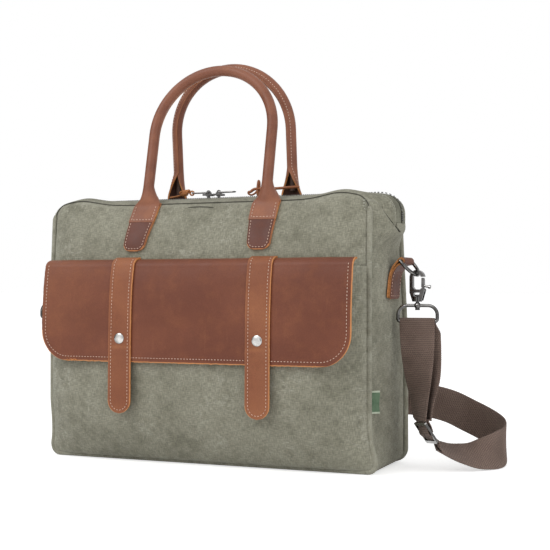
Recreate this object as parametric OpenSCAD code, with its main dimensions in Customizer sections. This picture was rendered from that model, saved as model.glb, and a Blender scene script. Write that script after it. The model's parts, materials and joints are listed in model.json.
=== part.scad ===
// Canvas and leather messenger bag, in millimetres.
// X to the right, front at -Y, Z up. The origin is the middle of the base, on the floor.

/* [Bag body] */
// Width of the bag across its base
bag_w = 400; // [390:2:410]
// Width between the front seams, above the base
front_w = 376; // [370:1:380]
// Depth between the seams at the base
bag_d = 100; // [96:1:104]
// Height of the top seams
seam_h = 292; // [288:1:296]
// Rise of the zip strip above the top seams
crown = 8; // [6:1:10]
// Radius of the two top corners
corner_r = 14; // [10:1:18]
// How far the filled front stands out from its seams
front_bulge = 26; // [22:1:28]
// Thickness of the canvas with its backing
canvas_t = 2.2; // [1.6:0.2:2.4]

/* [Front pocket] */
// Height of the pocket's hem
pocket_h = 219; // [212:1:222]
// How far the pocket's face stands off the front
pocket_gap = 11; // [9:1:13]
// Thickness of the pocket's canvas
pocket_t = 1.5; // [1:0.1:1.8]

/* [Flap and closure straps] */
// Width of the flap
flap_w = 368; // [350:2:372]
// Height of the flap's lower edge
flap_low = 114; // [105:1:125]
// Radius of the flap's lower corners
flap_r = 34; // [20:1:45]
// Thickness of the flap's leather
flap_t = 2.2; // [1.6:0.2:2.6]
// Width of each closure strap
closure_w = 28; // [22:1:32]
// Distance between the closure straps' middles
closure_gap = 164; // [140:2:190]
// Height of the closure straps' lower ends
closure_low = 58; // [50:1:70]
// Height of the two snaps
snap_z = 140; // [132:1:150]

/* [Handles] */
// Distance between the two legs of a handle
handle_gap = 146; // [136:2:156]
// Height of the front handle's top above its foot
handle_rise = 153; // [140:1:160]
// Height of the back handle's top above its foot
back_rise = 158; // [144:1:165]
// Radius of the rolled leather grip
grip_r = 6; // [5:0.25:7]
// Width of the sewn handle tabs
tab_w = 30; // [24:1:34]

/* [Shoulder strap] */
// Width of the webbing
web_w = 38; // [34:1:38]
// Thickness of the webbing
web_t = 1.8; // [1.4:0.1:2]
// Radius of the wire in the rings and loops
wire_r = 1.9; // [1.6:0.1:2]

/* [Hidden] */
$fn = 48;
tiny = 0.3;
front_half = front_w / 2;
back_half = bag_w / 2;
base_r = 14;
lean_y = 22;
front_top_y = -bag_d / 2 + 4;
back_top_y = bag_d / 2 - lean_y;
pipe_r = 1.8;
pipe_out = pipe_r + 0.35;
pipe_z = pipe_out + 0.2;
panel_low = pipe_z + pipe_out;
side_turn = 5.7;
side_face = [200, 5, 0];
side_top = 232;
bar_out = 14.5;
bar_z = 224;
ring_tilt = 41;
ring_r = 17.4;
ring_depth = 20;
stem_out = bar_out + ring_depth * sin(ring_tilt);
eye_z = bar_z - ring_depth * cos(ring_tilt);
loop_turn = 4;
hook_h = 28.4;
barrel_low = eye_z - hook_h;
barrel_top = barrel_low + 5.7;
loop_high = 17;
loop_top = barrel_low - 4.2;
loop_low = loop_top - loop_high;
loop_half = web_w / 2 + wire_r + 0.4;
drop_split = 112;
drop_end = 54.5;
glide_top = 44;
end_piece = 8.5;
drop_twist = 60;
drop_shift = 5;
drop_slack = 5;
zip_y = (front_top_y + back_top_y) / 2;
zip_z = seam_h + crown;
slider_l = 11;
hinge_out = 4.5;
hinge_z = seam_h + 1.5;
hinge_front = [0, front_top_y - hinge_out, hinge_z];
hinge_back = [0, back_top_y + hinge_out, hinge_z];
lean_front = 13;
lean_back = 5.5;
leather = "#8a4a2c";
leather_dark = "#6b3626";
canvas = "#7f8672";
webbing = "#5b4a43";
steel = "#8f9094";

// ---- shape of the filled bag ----

function smooth(t) = let (c = max(0, min(1, t))) c * c * (3 - 2 * c);
function mix(a, b, t) = a + (b - a) * t;
function backwards(p) = [for (i = [len(p) - 1 : -1 : 0]) p[i]];

// How far a round corner of radius r lies inside the edge, at depth d into the corner
function corner_cut(r, d) = r - sqrt(max(0, r * r - pow(max(0, d), 2)));

// Half width at height z. The sides flare out to the full width at the base.
function half_w(z, side_half) =
    side_half + (bag_w / 2 - side_half) * pow(max(0, 1 - z / 60), 2)
        - corner_cut(corner_r, z - (seam_h - corner_r));

// Half width of a front or back panel, whose lower corners lie inside the piping
panel_r = base_r - pipe_out;
function panel_w(z, side_half) =
    half_w(z, side_half) - corner_cut(panel_r, panel_low + panel_r - z);

function front_y(z) = -bag_d / 2 + 4 * smooth((z - 200) / (seam_h - 200));
function back_y(z) = bag_d / 2 - lean_y * smooth((z - 120) / (seam_h - 120));

// 0 at the base and top seams, 1 at the fullest height
function full(z, middle, top, power) =
    1 - pow(z > middle ? (z - middle) / (top - middle) : (middle - z) / middle, power);
function plateau(u, power) = 1 - pow(abs(u), power);

// Outer faces, at u from -1 to 1 across the bag
function panel_y(u, z) =
    front_y(z) - front_bulge * full(z, 130, seam_h, 4.4) * plateau(u, 9);
function pocket_y(u, z) =
    panel_y(u, z) - pocket_t - tiny - 0.4
        - pocket_gap * full(z, 115, 263, 2.2) * plateau(u, 6);
function rear_y(u, z) = back_y(z) + 8 * full(z, 110, seam_h, 3) * plateau(u, 6);

// ---- solids from rings of points ----

// Closed skin over rings of equal length. An open loft has strip caps for rings
// that run out along one face and back along the other.
module loft(rings, closed = false) {
    n = len(rings[0]);
    m = len(rings);
    last = closed ? m - 1 : m - 2;
    skin = [for (k = [0 : last]) for (i = [0 : n - 1])
        let (a = k * n + i, b = k * n + (i + 1) % n,
             c = ((k + 1) % m) * n + (i + 1) % n, d = ((k + 1) % m) * n + i)
        each [[a, b, c], [a, c, d]]];
    start = [for (i = [0 : n / 2 - 2])
        each [[i + 1, i, n - 1 - i], [i + 1, n - 1 - i, n - 2 - i]]];
    finish = [for (f = start) [for (i = [2 : -1 : 0]) f[i] + (m - 1) * n]];
    points = [for (ring = rings) each ring];
    polyhedron(points, closed ? skin : concat(skin, start, finish), convexity = 8);
}

// Heights shared by the panels, the sides and the piping
levels = [22, 40, 70, 105, 140, 175, 205, 232];
high_levels = [255, 272];

// Heights of the rows of a panel: round the base corner, straight, round the top corner
function rows(high) = concat(
    [for (a = [0 : 22.5 : 90]) panel_low + panel_r * (1 - cos(a))],
    [for (z = concat(levels, high_levels)) if (z < high - 6) z],
    high > seam_h - 1
        ? [for (a = [0 : 22.5 : 90]) seam_h - corner_r + corner_r * sin(a)]
        : [high]);

columns = [for (u = [-1, -0.97, -0.91, -0.8, -0.6, -0.2, 0.2, 0.6, 0.8, 0.91, 0.97, 1]) u];

front_rows = backwards(rows(seam_h));

module front_panel() {
    color(canvas)
    loft([for (z = front_rows) let (w = panel_w(z, front_half)) concat(
        [for (u = columns) [u * w, panel_y(u, z), z]],
        [for (i = [len(columns) - 1 : -1 : 0])
            [columns[i] * w, panel_y(columns[i], z) + canvas_t, z]])]);
}

module front_pocket() {
    color(canvas)
    loft([for (z = backwards(rows(pocket_h))) let (w = panel_w(z, front_half)) concat(
        [for (u = columns) [u * w, pocket_y(u, z), z]],
        [for (i = [len(columns) - 1 : -1 : 0])
            [columns[i] * w, pocket_y(columns[i], z) + pocket_t, z]])]);
}

module back_panel() {
    color(canvas)
    loft([for (z = front_rows) let (w = panel_w(z, back_half)) concat(
        [for (u = columns) [u * w, rear_y(u, z) - canvas_t, z]],
        [for (i = [len(columns) - 1 : -1 : 0])
            [columns[i] * w, rear_y(columns[i], z), z]])]);
}

// ---- the band of canvas between the front and back seams ----

// A station holds [x at front, x at back, z, outward x, outward z, bulge]
bulge_low = 5;
bulge_high = 20;
function side_bulge(z) =
    bulge_low * smooth(z / 60) + (bulge_high - bulge_low) * smooth((z - 233) / 28);
function side_station(z) =
    [half_w(z, front_half), half_w(z, back_half), z, 1, 0, side_bulge(z)];
function corner_station(a) =
    [front_half - corner_r + corner_r * cos(a), back_half - corner_r + corner_r * cos(a),
     seam_h - corner_r + corner_r * sin(a), cos(a), sin(a),
     mix(bulge_high, crown, smooth(a / 90))];
function base_station(a) = let (x = base_r * (sin(a) - 1), out = a / 90)
    [mix(back_half, half_w(base_r, front_half), out) + x, back_half + x,
     base_r * (1 - cos(a)), sin(a), -cos(a), 0];
function top_station(x) = [x * (front_half - corner_r), x * (back_half - corner_r),
    seam_h, 0, 1, crown];
function flipped(s) = [-s[0], -s[1], s[2], -s[3], s[4], s[5]];

// Station at a distance along the band from the middle of the top, negative to the left
top_half = front_half - corner_r;
arc_l = corner_r * PI / 2;
function reach(z) = top_half + arc_l + seam_h - corner_r - z;
function station(d) = let (turn = abs(d) - top_half,
    s = turn < 0 ? top_station(abs(d) / top_half)
        : turn < arc_l ? corner_station(90 * (1 - turn / arc_l))
        : side_station(seam_h - corner_r - turn + arc_l))
    d < 0 ? flipped(s) : s;

// The zip's strip ends in a U on each side of the bag
u_drop = 44;
function seam_end(t) = top_half + u_drop * (1 - pow(1 - 2 * min(t, 1 - t), 1.6));

// Point of the band at t from 0 (front seam) to 1 (back seam), h below its face
function band(s, t, h) = let (inset = canvas_t + 0.15,
    y0 = front_y(s[2]) + inset, y1 = back_y(s[2]) - inset,
    out = s[5] * 4 * t * (1 - t) - h)
    [mix(s[0], s[1], t) + s[3] * out, mix(y0, y1, t), s[2] + s[4] * out];

// Cross-section of the band at the places ts, where pick(t) is the station for each
function section(ts, pick, h0, h1) = concat([for (t = ts) band(pick(t), t, h0)],
    [for (t = backwards(ts)) band(pick(t), t, h1)]);

zip_edge = 0.36;
edge_columns = [0, 0.06, 0.12, 0.24, zip_edge];
far_columns = [for (t = backwards(edge_columns)) 1 - t];
side_columns = concat(edge_columns, [0.5], far_columns);
side_stations = concat([for (z = backwards(levels)) side_station(z)],
    [for (a = [90 : -20 : 10]) base_station(a)]);

module side_panel_right() {
    color(canvas) loft(concat(
        [for (v = [0 : 0.25 : 0.75]) section(side_columns, function (t)
            station(mix(seam_end(t) + tiny, reach(side_top), v)), 0, canvas_t)],
        [for (s = side_stations) section(side_columns, function (t) s, 0, canvas_t)]));
}

module side_panel_left() {
    mirror([1, 0, 0]) side_panel_right();
}

module bottom_panel() {
    w = 2 * (back_half - base_r);
    color(canvas) translate([-w / 2, -bag_d / 2 + canvas_t, 0])
        cube([w, bag_d - 2 * canvas_t, canvas_t]);
}

tape_gap = 0.004;
zip_reach = 208;
half_arch = [0.2, 0.6, 0.78, 0.84, 0.88, 0.92, 0.96, 1];
arch = concat([for (w = backwards(half_arch)) -w], half_arch);
tape_edge = 2.7 / (back_top_y - front_top_y - 2 * canvas_t);
tape_far = 0.95 * tape_edge;
tape_near = 0.24 * tape_edge;

module gusset(ts) {
    color(canvas) loft([for (w = arch) section(ts, function (t) station(w * seam_end(t)),
        0, canvas_t)]);
}

module gusset_front() { gusset(edge_columns); }
module gusset_back() { gusset(far_columns); }

module zip_end_right() {
    color(canvas) loft([for (v = [0, 1]) section([zip_edge + tape_gap, 0.5,
        1 - zip_edge - tape_gap], function (t) station(mix(zip_reach + tiny, seam_end(t), v)),
        0, canvas_t)]);
}

module zip_end_left() {
    mirror([1, 0, 0]) zip_end_right();
}

module zip_strip(t0, t1, h0, h1) {
    loft([for (w = arch) section([t0, t1], function (t) station(w * zip_reach), h0, h1)]);
}

module zip_tape_front() {
    color("#4f5347") zip_strip(zip_edge + tape_gap, 0.5 - tape_edge, 0.2, 1.2);
}

module zip_tape_back() {
    color("#4f5347") zip_strip(0.5 + tape_edge, 1 - zip_edge - tape_gap, 0.2, 1.2);
}

module zip_teeth_front() {
    color("#3c3d3a") zip_strip(0.5 - tape_far, 0.5 - tape_near, -0.7, 1.7);
}

module zip_teeth_back() {
    color("#3c3d3a") zip_strip(0.5 + tape_near, 0.5 + tape_far, -0.7, 1.7);
}

// ---- piping round the front and back faces ----

// Centre of the piping and the outward direction, from the base's middle up one side
pipe_top = 277;
function pipe_half(side_half, y_at) = let (
    base = [for (a = [0 : 22.5 : 90]) let (z = pipe_z + base_r * (1 - cos(a)))
        [half_w(z, side_half) + pipe_out - base_r * (1 - sin(a)), z, sin(a), -cos(a)]],
    side = [for (z = concat(levels, [255, pipe_top]))
        [half_w(z, side_half) + pipe_out, z, 1, 0]])
    [for (p = concat(base, side)) [p[0], y_at(p[1]), p[1], p[2], p[3]]];

module piping(side_half, y_at) {
    half = pipe_half(side_half, y_at);
    path = concat([for (p = backwards(half)) [-p[0], p[1], p[2], -p[3], p[4]]], half);
    color("#6d735f")
    loft([for (p = path) [for (a = [300 : -60 : 0])
        [p[0] + p[3] * pipe_r * cos(a), p[1] + pipe_r * sin(a),
         p[2] + p[4] * pipe_r * cos(a)]]]);
}

module piping_front() { piping(front_half, function (z) front_y(z) + 0.4); }
module piping_back() { piping(back_half, function (z) back_y(z) - 0.4); }

// ---- inside ----

module rounded(w, d, r) {
    union() {
        square([w - 2 * r, d], center = true);
        square([w, d - 2 * r], center = true);
        for (x = [-1, 1]) for (y = [-1, 1])
            translate([x * (w / 2 - r), y * (d / 2 - r)]) circle(r);
    }
}

module lining() {
    color("#4a4d52") translate([0, -10, 4])
    difference() {
        linear_extrude(232) rounded(352, 68, 10);
        translate([0, 0, 0.8]) linear_extrude(240) rounded(350.4, 66.4, 9.2);
    }
}

module base_board() {
    color("#2f2f2f") translate([0, -10, 5.2]) linear_extrude(2.5) rounded(344, 60, 8);
}

module laptop_divider() {
    color("#4a4d52") translate([0, 4, 8.2]) rotate([90, 0, 0])
    linear_extrude(5) {
        translate([-166, 0]) square([332, 190]);
        translate([0, 100]) rounded(332, 200, 20);
    }
}

module back_padding() {
    color("#33363a") translate([0, 46, 8]) rotate([3.5, 0, 0])
        translate([0, 0, 116]) rotate([90, 0, 0]) linear_extrude(6) rounded(356, 232, 20);
}

// ---- leather sewn on the front, and the flap ----

// Solid between two faces given as y at height z, cut to a 2D outline in X and Z
module follow(heights, inner, outer, w) {
    profile = concat([for (z = heights) [inner(z), z]],
        [for (i = [len(heights) - 1 : -1 : 0]) [outer(heights[i]), heights[i]]]);
    intersection() {
        translate([-w, 0, 0]) rotate([90, 0, 90]) linear_extrude(2 * w) polygon(profile);
        translate([0, 150, 0]) rotate([90, 0, 0]) linear_extrude(300) children();
    }
}

function steps(low, high, count) = [for (i = [0 : count]) mix(low, high, i / count)];

tab_low = seam_h - 56;
tab_heights = steps(tab_low, seam_h - 0.5, 7);

module tab_outline(low) {
    r = 5;
    union() {
        translate([-tab_w / 2, low + r]) square([tab_w, seam_h - low - r - 0.5]);
        translate([-tab_w / 2 + r, low]) square([tab_w - 2 * r, r + 1]);
        for (x = [-1, 1]) translate([x * (tab_w / 2 - r), low + r]) circle(r);
    }
}

module pair(gap) {
    for (x = [-1, 1]) translate([x * gap / 2, 0, 0]) children();
}

module handle_tabs_front() {
    color(leather) pair(handle_gap) follow(tab_heights, function (z) panel_y(0, z) - tiny,
        function (z) panel_y(0, z) - tiny - 2.4, 20) tab_outline(tab_low);
}

module handle_tabs_back() {
    color(leather) pair(handle_gap) follow(tab_heights, function (z) rear_y(0, z) + tiny,
        function (z) rear_y(0, z) + tiny + 2.4, 20) tab_outline(tab_low);
}

patch_heights = steps(tab_low - 1, tab_low + 36, 4);

module patch_outline() {
    translate([0, tab_low + 17]) rounded(tab_w - 5, 34, 4);
}

module tab_patches_front() {
    color(leather_dark) pair(handle_gap) follow(patch_heights,
        function (z) panel_y(0, z) - 2.8, function (z) panel_y(0, z) - 4.2, 20) patch_outline();
}

module tab_patches_back() {
    color(leather_dark) pair(handle_gap) follow(patch_heights,
        function (z) rear_y(0, z) + 2.8, function (z) rear_y(0, z) + 4.2, 20) patch_outline();
}

// The flap hangs from a rounded edge just above the pocket's hem
flap_top = pocket_h + 7;
flap_hinge = [0, panel_y(0, flap_top) - flap_t / 2 - 0.5, flap_top];
flap_stand = 1.4;
function flap_in(z) = pocket_y(0, min(z, pocket_h)) - flap_stand - 1.8;
function flap_out(z) = flap_in(z) - flap_t;

// Line of the flap's top, g off its outer face: an arc from the hinge out over the hem
roll_z = pocket_h - 1;
function roll_line(y_out, z_top) = [for (a = [0 : 15 : 90])
    [mix(flap_hinge[1], y_out, sin(a)), mix(roll_z, z_top, cos(a))]];
function roll_outer(g) = roll_line(flap_out(roll_z) - g, flap_top + flap_t / 2 + g);

module bar_of(profile, w) {
    rotate([90, 0, 90]) linear_extrude(w, center = true) polygon(profile);
}

module flap_roll() {
    bar_of(concat(roll_outer(0),
        backwards(roll_line(flap_in(roll_z), flap_top - flap_t / 2))), flap_w);
    translate(flap_hinge) rotate([0, 90, 0]) cylinder(h = flap_w, r = flap_t / 2, center = true);
}

flap_heights = steps(flap_low, roll_z, 9);

module flap_outline() {
    w = flap_w / 2;
    union() {
        translate([-w, flap_low + flap_r]) square([2 * w, pocket_h]);
        translate([-w + flap_r, flap_low]) square([2 * (w - flap_r), flap_r + 1]);
        for (x = [-1, 1]) translate([x * (w - flap_r), flap_low + flap_r])
            circle(flap_r, $fn = 96);
    }
}

module flap() {
    color(leather) difference() {
        union() {
            follow(flap_heights, function (z) flap_in(z), function (z) flap_out(z), flap_w / 2)
                flap_outline();
            flap_roll();
        }
        pair(closure_gap) snap_hole(2.2);
    }
}

module snap_hole(r) {
    translate([0, flap_in(snap_z) + 3, snap_z]) rotate([90, 0, 0]) cylinder(h = 12, r = r);
}

closure_t = 2.2;
closure_play = 0.1;
function closure_in(z) = flap_out(max(z, flap_low)) - closure_play;
closure_heights = concat([for (z = steps(closure_low, flap_low, 4)) if (z < flap_low - 1) z],
    flap_heights);

// The strap's top end is pared down where it lies over the flap's edge
function closure_roll() = [for (a = [0 : 15 : 90]) let (g = closure_play
    + closure_t * smooth(a / 50)) [mix(flap_hinge[1], flap_out(roll_z) - g, sin(a)),
        mix(roll_z, flap_top + flap_t / 2 + g, cos(a))]];

module closure_outline() {
    r = closure_w / 2;
    union() {
        translate([-r, closure_low + r]) square([2 * r, roll_z - closure_low - r]);
        translate([0, closure_low + r]) circle(r);
    }
}

module closure_strap() {
    color(leather) difference() {
        union() {
            follow(closure_heights, function (z) closure_in(z),
                function (z) closure_in(z) - closure_t, closure_w / 2) closure_outline();
            bar_of(concat(closure_roll(), backwards([for (i = [1 : 6])
                roll_outer(closure_play)[i]])), closure_w);
        }
        snap_hole(2.2);
    }
}

module closure_strap_left() { translate([-closure_gap / 2, 0, 0]) closure_strap(); }
module closure_strap_right() { translate([closure_gap / 2, 0, 0]) closure_strap(); }

cap_y = closure_in(snap_z) - closure_t;

module snap_caps() {
    color(steel) pair(closure_gap) translate([0, cap_y - 0.25, snap_z]) rotate([90, 0, 0])
    rotate_extrude() polygon(concat([[0, -4.4], [2.1, -4.4], [2.1, 0], [5.9, 0], [5.9, 0.5]],
        [for (a = [15 : 15 : 90]) [5.9 * cos(a), 0.5 + 1.3 * sin(a)]]));
}

socket_y = flap_in(snap_z) + 0.2;

module snap_sockets() {
    color(steel) pair(closure_gap) translate([0, socket_y, snap_z]) rotate([-90, 0, 0])
    difference() {
        cylinder(h = 1.5, r = 5.4);
        translate([0, 0, 0.3]) cylinder(h = 2, r = 2.4);
    }
}

module snap_studs() {
    color(steel) pair(closure_gap) translate([0, pocket_y(0.44, snap_z) - 0.1, snap_z])
    rotate([90, 0, 0]) {
        cylinder(h = 0.7, r = 4.8);
        cylinder(h = 1.9, r = 1.8);
    }
}

module seam_tag() {
    color("#2f6b4a") loft([for (z = [89, 77, 65])
        section([0.02, 0.06, 0.12, 0.2], function (t) side_station(z), -1.3, -0.3)]);
}

// ---- rolled handles ----

module bent(rise, r) {
    leg = rise - handle_gap / 2;
    union() {
        translate([0, 0, leg]) rotate([90, 0, 0])
            rotate_extrude(angle = 180) translate([handle_gap / 2, 0]) circle(r);
        pair(handle_gap) translate([0, 0, 14]) cylinder(h = leg - 14, r = r);
    }
}

// The roll opens into a flat foot just above the sewn tab
module foot() {
    hull() {
        translate([0, 0, 13.8]) cylinder(h = 0.2, r = grip_r, $fn = 32);
        translate([-tab_w / 2, -1.6, 0.4]) cube([tab_w, 3.2, 1]);
    }
}

module grip(rise) {
    difference() {
        bent(rise, grip_r);
        bent(rise, grip_r - 2.2);
    }
    pair(handle_gap) foot();
}

module place_front() { translate(hinge_front) rotate([-lean_front, 0, 0]) children(); }
module place_back() { translate(hinge_back) rotate([lean_back, 0, 0]) children(); }

module grip_front() { color(leather) place_front() grip(handle_rise); }
module grip_back() { color(leather) place_back() grip(back_rise); }
module grip_core_front() { color("#d8cfb8") place_front() bent(handle_rise, grip_r - 2.3); }
module grip_core_back() { color("#d8cfb8") place_back() bent(back_rise, grip_r - 2.3); }

// ---- zip sliders ----

slider_at = [-15.5, -2.5];
plate_w = 9.6;

module slider() {
    translate([-slider_l / 2, 0, 0]) rotate([90, 0, 90]) linear_extrude(slider_l) {
        translate([-plate_w / 2, 1.8]) square([plate_w, 1.4]);
        translate([-plate_w / 2, -3.6]) square([plate_w, 1.4]);
        for (x = [-plate_w / 2, plate_w / 2 - 0.6]) translate([x, 1]) square([0.6, 0.9]);
    }
    translate([-2, -0.25, -3]) cube([4, 0.5, 5]);
    rotate([90, 0, 0]) linear_extrude(1.6, center = true) difference() {
        union() {
            translate([-3.6, 3]) square([7.2, 2]);
            translate([0, 5]) circle(2.6);
        }
        translate([0, 4.9]) circle(1.15);
    }
}

module pull() {
    bar_r = 0.85;
    r = 0.75;
    translate([0, 0, 4.9]) {
        rotate([90, 0, 0]) cylinder(h = 7, r = bar_r, center = true);
        for (y = [-2.6, 2.6]) translate([0, y, 0]) rotate([0, 90, 0]) cylinder(h = 18, r = r);
        translate([18, 0, 0]) rotate([0, 0, -90])
            rotate_extrude(angle = 180) translate([2.6, 0]) circle(r);
    }
}

module at_slider(i) { translate([slider_at[i], zip_y, zip_z]) mirror([1 - i, 0, 0]) children(); }
module slider_left() { color(steel) at_slider(0) slider(); }
module slider_right() { color(steel) at_slider(1) slider(); }
module pull_left() { color(steel) at_slider(0) pull(); }
module pull_right() { color(steel) at_slider(1) pull(); }

// Leather lace looped round the end of a pull
module lace_eye() {
    translate([20.6, 0, 4.9]) rotate([90, 0, 0]) linear_extrude(2.6, center = true)
    difference() {
        circle(2.7);
        circle(1.35);
    }
}

module lace_right() {
    color(leather) at_slider(1) {
        lace_eye();
        translate([22.9, 0, 5.2]) rotate([0, 87, 0]) cylinder(h = 58, r = 1.8);
        translate([30, 0, 5.6]) rotate([0, 87, 0]) difference() {
            cylinder(h = 5, r = 3.1);
            translate([0, 0, -1]) cylinder(h = 7, r = 1.9);
        }
    }
}

module lace_left() {
    color(leather) at_slider(0) {
        lace_eye();
        translate([22.9, 0, 4.9]) rotate([0, 90, 0]) cylinder(h = 8, r = 1.8);
        translate([30.6, 0, 4.7]) rotate([0, 90, 0]) rotate_extrude()
            polygon([[0, 0], [2.2, 0.3], [3.3, 2], [3, 5], [3.3, 8.6], [2.4, 11], [0, 11.6]]);
        translate([41.6, 0, 4.3]) rotate([0, 97, 0]) cylinder(h = 14, r = 1.7);
    }
}

// ---- side tabs, rings and hooks ----

module at_side() { translate(side_face) rotate([0, 0, -side_turn]) children(); }
module left_side() { mirror([1, 0, 0]) children(); }

module side_tab() {
    eye = 4.7;
    color(leather) at_side() rotate([90, 0, 0]) linear_extrude(30, center = true)
    difference() {
        union() {
            polygon([[0.4, 183], [3.4, 183], [4.4, 184], [4.4, 215], [7, 218.6],
                [bar_out - 2, bar_z - eye + 0.4], [bar_out, bar_z - 2], [bar_out, bar_z + eye],
                [4, 229.5], [1.4, 227.5], [0.4, 225]]);
            translate([bar_out, bar_z]) circle(eye);
        }
        translate([bar_out, bar_z]) circle(wire_r + 0.25);
    }
}

module side_tab_right() { side_tab(); }
module side_tab_left() { left_side() side_tab(); }

module d_ring() {
    color(steel) at_side() translate([bar_out, 0, bar_z]) rotate([0, -ring_tilt, 0]) {
        rotate([90, 0, 0]) cylinder(h = 2 * ring_r, r = wire_r, center = true);
        for (y = [-ring_r, ring_r]) translate([0, y, 0]) {
            sphere(wire_r);
            translate([0, 0, ring_r - ring_depth]) cylinder(h = ring_depth - ring_r, r = wire_r);
        }
        translate([0, 0, ring_r - ring_depth]) rotate([0, 90, 0]) rotate([0, 0, -90])
            rotate_extrude(angle = 180) translate([ring_r, 0]) circle(wire_r);
    }
}

module ring_right() { d_ring(); }
module ring_left() { left_side() d_ring(); }

hook_in = 4.6;
hook_out = 8.2;
arc_z = eye_z + wire_r + 0.2 - hook_in;
pin_at = [6.4, barrel_top + 6.6];
waist_z = barrel_top + 4;
head_z = barrel_top + 0.2;

module at_stem() { at_side() translate([stem_out, 0, 0]) children(); }

module flat(t) { rotate([90, 0, 0]) linear_extrude(t, center = true) children(); }

module hook() {
    color(steel) at_stem() {
        difference() {
            union() {
                flat(5.2) difference() {
                    union() {
                        difference() {
                            translate([0, arc_z]) circle(hook_out);
                            translate([-20, arc_z - 20]) square([40, 20.7]);
                        }
                        polygon([[-hook_out, arc_z + 1.5], [-hook_in, arc_z + 1.5],
                            [-hook_in, waist_z + 6], [-2.6, waist_z + 3.4], [5, waist_z + 3.4],
                            [5, waist_z], [-2.6, waist_z], [-3.8, waist_z - 1.2],
                            [-3.8, barrel_low + 1], [-5, barrel_low], [-hook_out, waist_z]]);
                    }
                    translate([0, arc_z]) circle(hook_in);
                }
                translate([0, 0, barrel_low]) cylinder(h = barrel_top - barrel_low, r = 5.2);
                for (y = [-2.7, 2.7]) translate([0, y, 0]) flat(1.4) hull() {
                    translate(pin_at) circle(2.3);
                    translate([2.6, barrel_low + 1]) square([3, 3]);
                }
            }
            translate([0, 0, barrel_low - 1]) cylinder(h = 12, r = 2.05);
            translate([3, -1.95, pin_at[1] - 4]) cube([8, 3.9, 10.4]);
        }
        translate([pin_at[0], 0, pin_at[1]]) rotate([90, 0, 0])
            cylinder(h = 6, r = 0.9, center = true);
    }
}

module hook_right() { hook(); }
module hook_left() { left_side() hook(); }

module hook_spring() {
    color("#b9bcc0") at_stem() translate([pin_at[0], 0, pin_at[1]]) rotate([90, 0, 0])
        for (z = [-1.55, -1.15, 1.15, 1.55]) translate([0, 0, z])
            rotate_extrude() translate([1.45, 0]) circle(0.17);
}

module hook_spring_right() { hook_spring(); }
module hook_spring_left() { left_side() hook_spring(); }

module gate() {
    top = arc_z - 0.3;
    color(steel) at_stem() {
        difference() {
            union() {
                flat(1.5) translate(pin_at) circle(2.1);
                flat(1.5) translate([pin_at[0] - 1.3, pin_at[1]]) square([2.8, 4]);
                flat(3.4) polygon([[pin_at[0] - 1.6, pin_at[1] + 3],
                    [pin_at[0] + 1.6, pin_at[1] + 3], [pin_at[0] + 1.6, top - 2],
                    [pin_at[0] + 1, top], [pin_at[0] - 1.4, top]]);
            }
            translate([pin_at[0], 0, pin_at[1]]) rotate([90, 0, 0])
                cylinder(h = 8, r = 1.0, center = true);
        }
        translate([pin_at[0] + 1, 0, pin_at[1] + 4.6]) rotate([0, 100, 0]) {
            cylinder(h = 5.4, r = 1.3);
            translate([0, 0, 5.4]) cylinder(h = 2, r = 2);
        }
    }
}

module gate_right() { gate(); }
module gate_left() { left_side() gate(); }

// Oval wire loop that holds the webbing, with the swivel stem on its top bar
module wire_corner(half, r, start) {
    translate([half - r, 0, 0]) rotate([90, 0, 0]) rotate([0, 0, start])
        rotate_extrude(angle = 90) translate([r, 0]) circle(wire_r);
}

module wire_bar(half) { rotate([0, 90, 0]) cylinder(h = 2 * half, r = wire_r, center = true); }

module wire_loop(half, high, r_top, r_low) {
    translate([0, 0, high]) wire_bar(half - r_top);
    wire_bar(half - r_low);
    for (side = [0, 1]) mirror([side, 0, 0]) {
        translate([half, 0, r_low]) cylinder(h = high - r_top - r_low, r = wire_r);
        translate([0, 0, high - r_top]) wire_corner(half, r_top, 0);
        translate([0, 0, r_low]) wire_corner(half, r_low, 270);
    }
}

module swivel_loop(turn) {
    color(steel) at_stem() rotate([0, 0, turn + side_turn]) {
        translate([0, 0, loop_low]) wire_loop(loop_half, loop_high, 10, 2.6);
        translate([0, 0, loop_top]) sphere(3.7);
        translate([0, 0, loop_top - 5]) cylinder(h = 4, r = 2.5);
        translate([0, 0, loop_top]) cylinder(h = head_z - loop_top, r = 1.9);
        translate([0, 0, head_z]) cylinder(h = 1.6, r = 3);
    }
}

module loop_right() { swivel_loop(loop_turn); }
module loop_left() { left_side() swivel_loop(0); }

// ---- webbing ----

function unit(v) = v / norm(v);
function route_dir(p, i) = unit(p[min(i + 1, len(p) - 1)] - p[max(i - 1, 0)]);

// Flat ribbon through stations [x, y, z, roll]: at roll 0 the width lies level, at 90 it stands
module ribbon(route, w, t) {
    p = [for (s = route) [s[0], s[1], s[2]]];
    color(webbing)
    loft([for (i = [0 : len(p) - 1]) let (
        d = route_dir(p, i), level = unit([-d[1], d[0], 0]), up = cross(d, level),
        across = cos(route[i][3]) * level + sin(route[i][3]) * up, face = cross(d, across))
        [for (c = [[-1, 1], [1, 1], [1, -1], [-1, -1]])
            p[i] + across * c[0] * w / 2 + face * c[1] * t / 2]]);
}

drop_at = side_face + [stem_out * cos(side_turn), -stem_out * sin(side_turn), 0];

// The doubled webbing hangs from the loop's lower bar, and twists on its way down
wrap_r = wire_r + 0.2 + web_t / 2;
function hang(z) = smooth((loop_low - z) / (loop_low - glide_top));
function web_across(turn) = [cos(turn), sin(turn), 0];
function web_face(turn) = [-sin(turn), cos(turn), 0];

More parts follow.
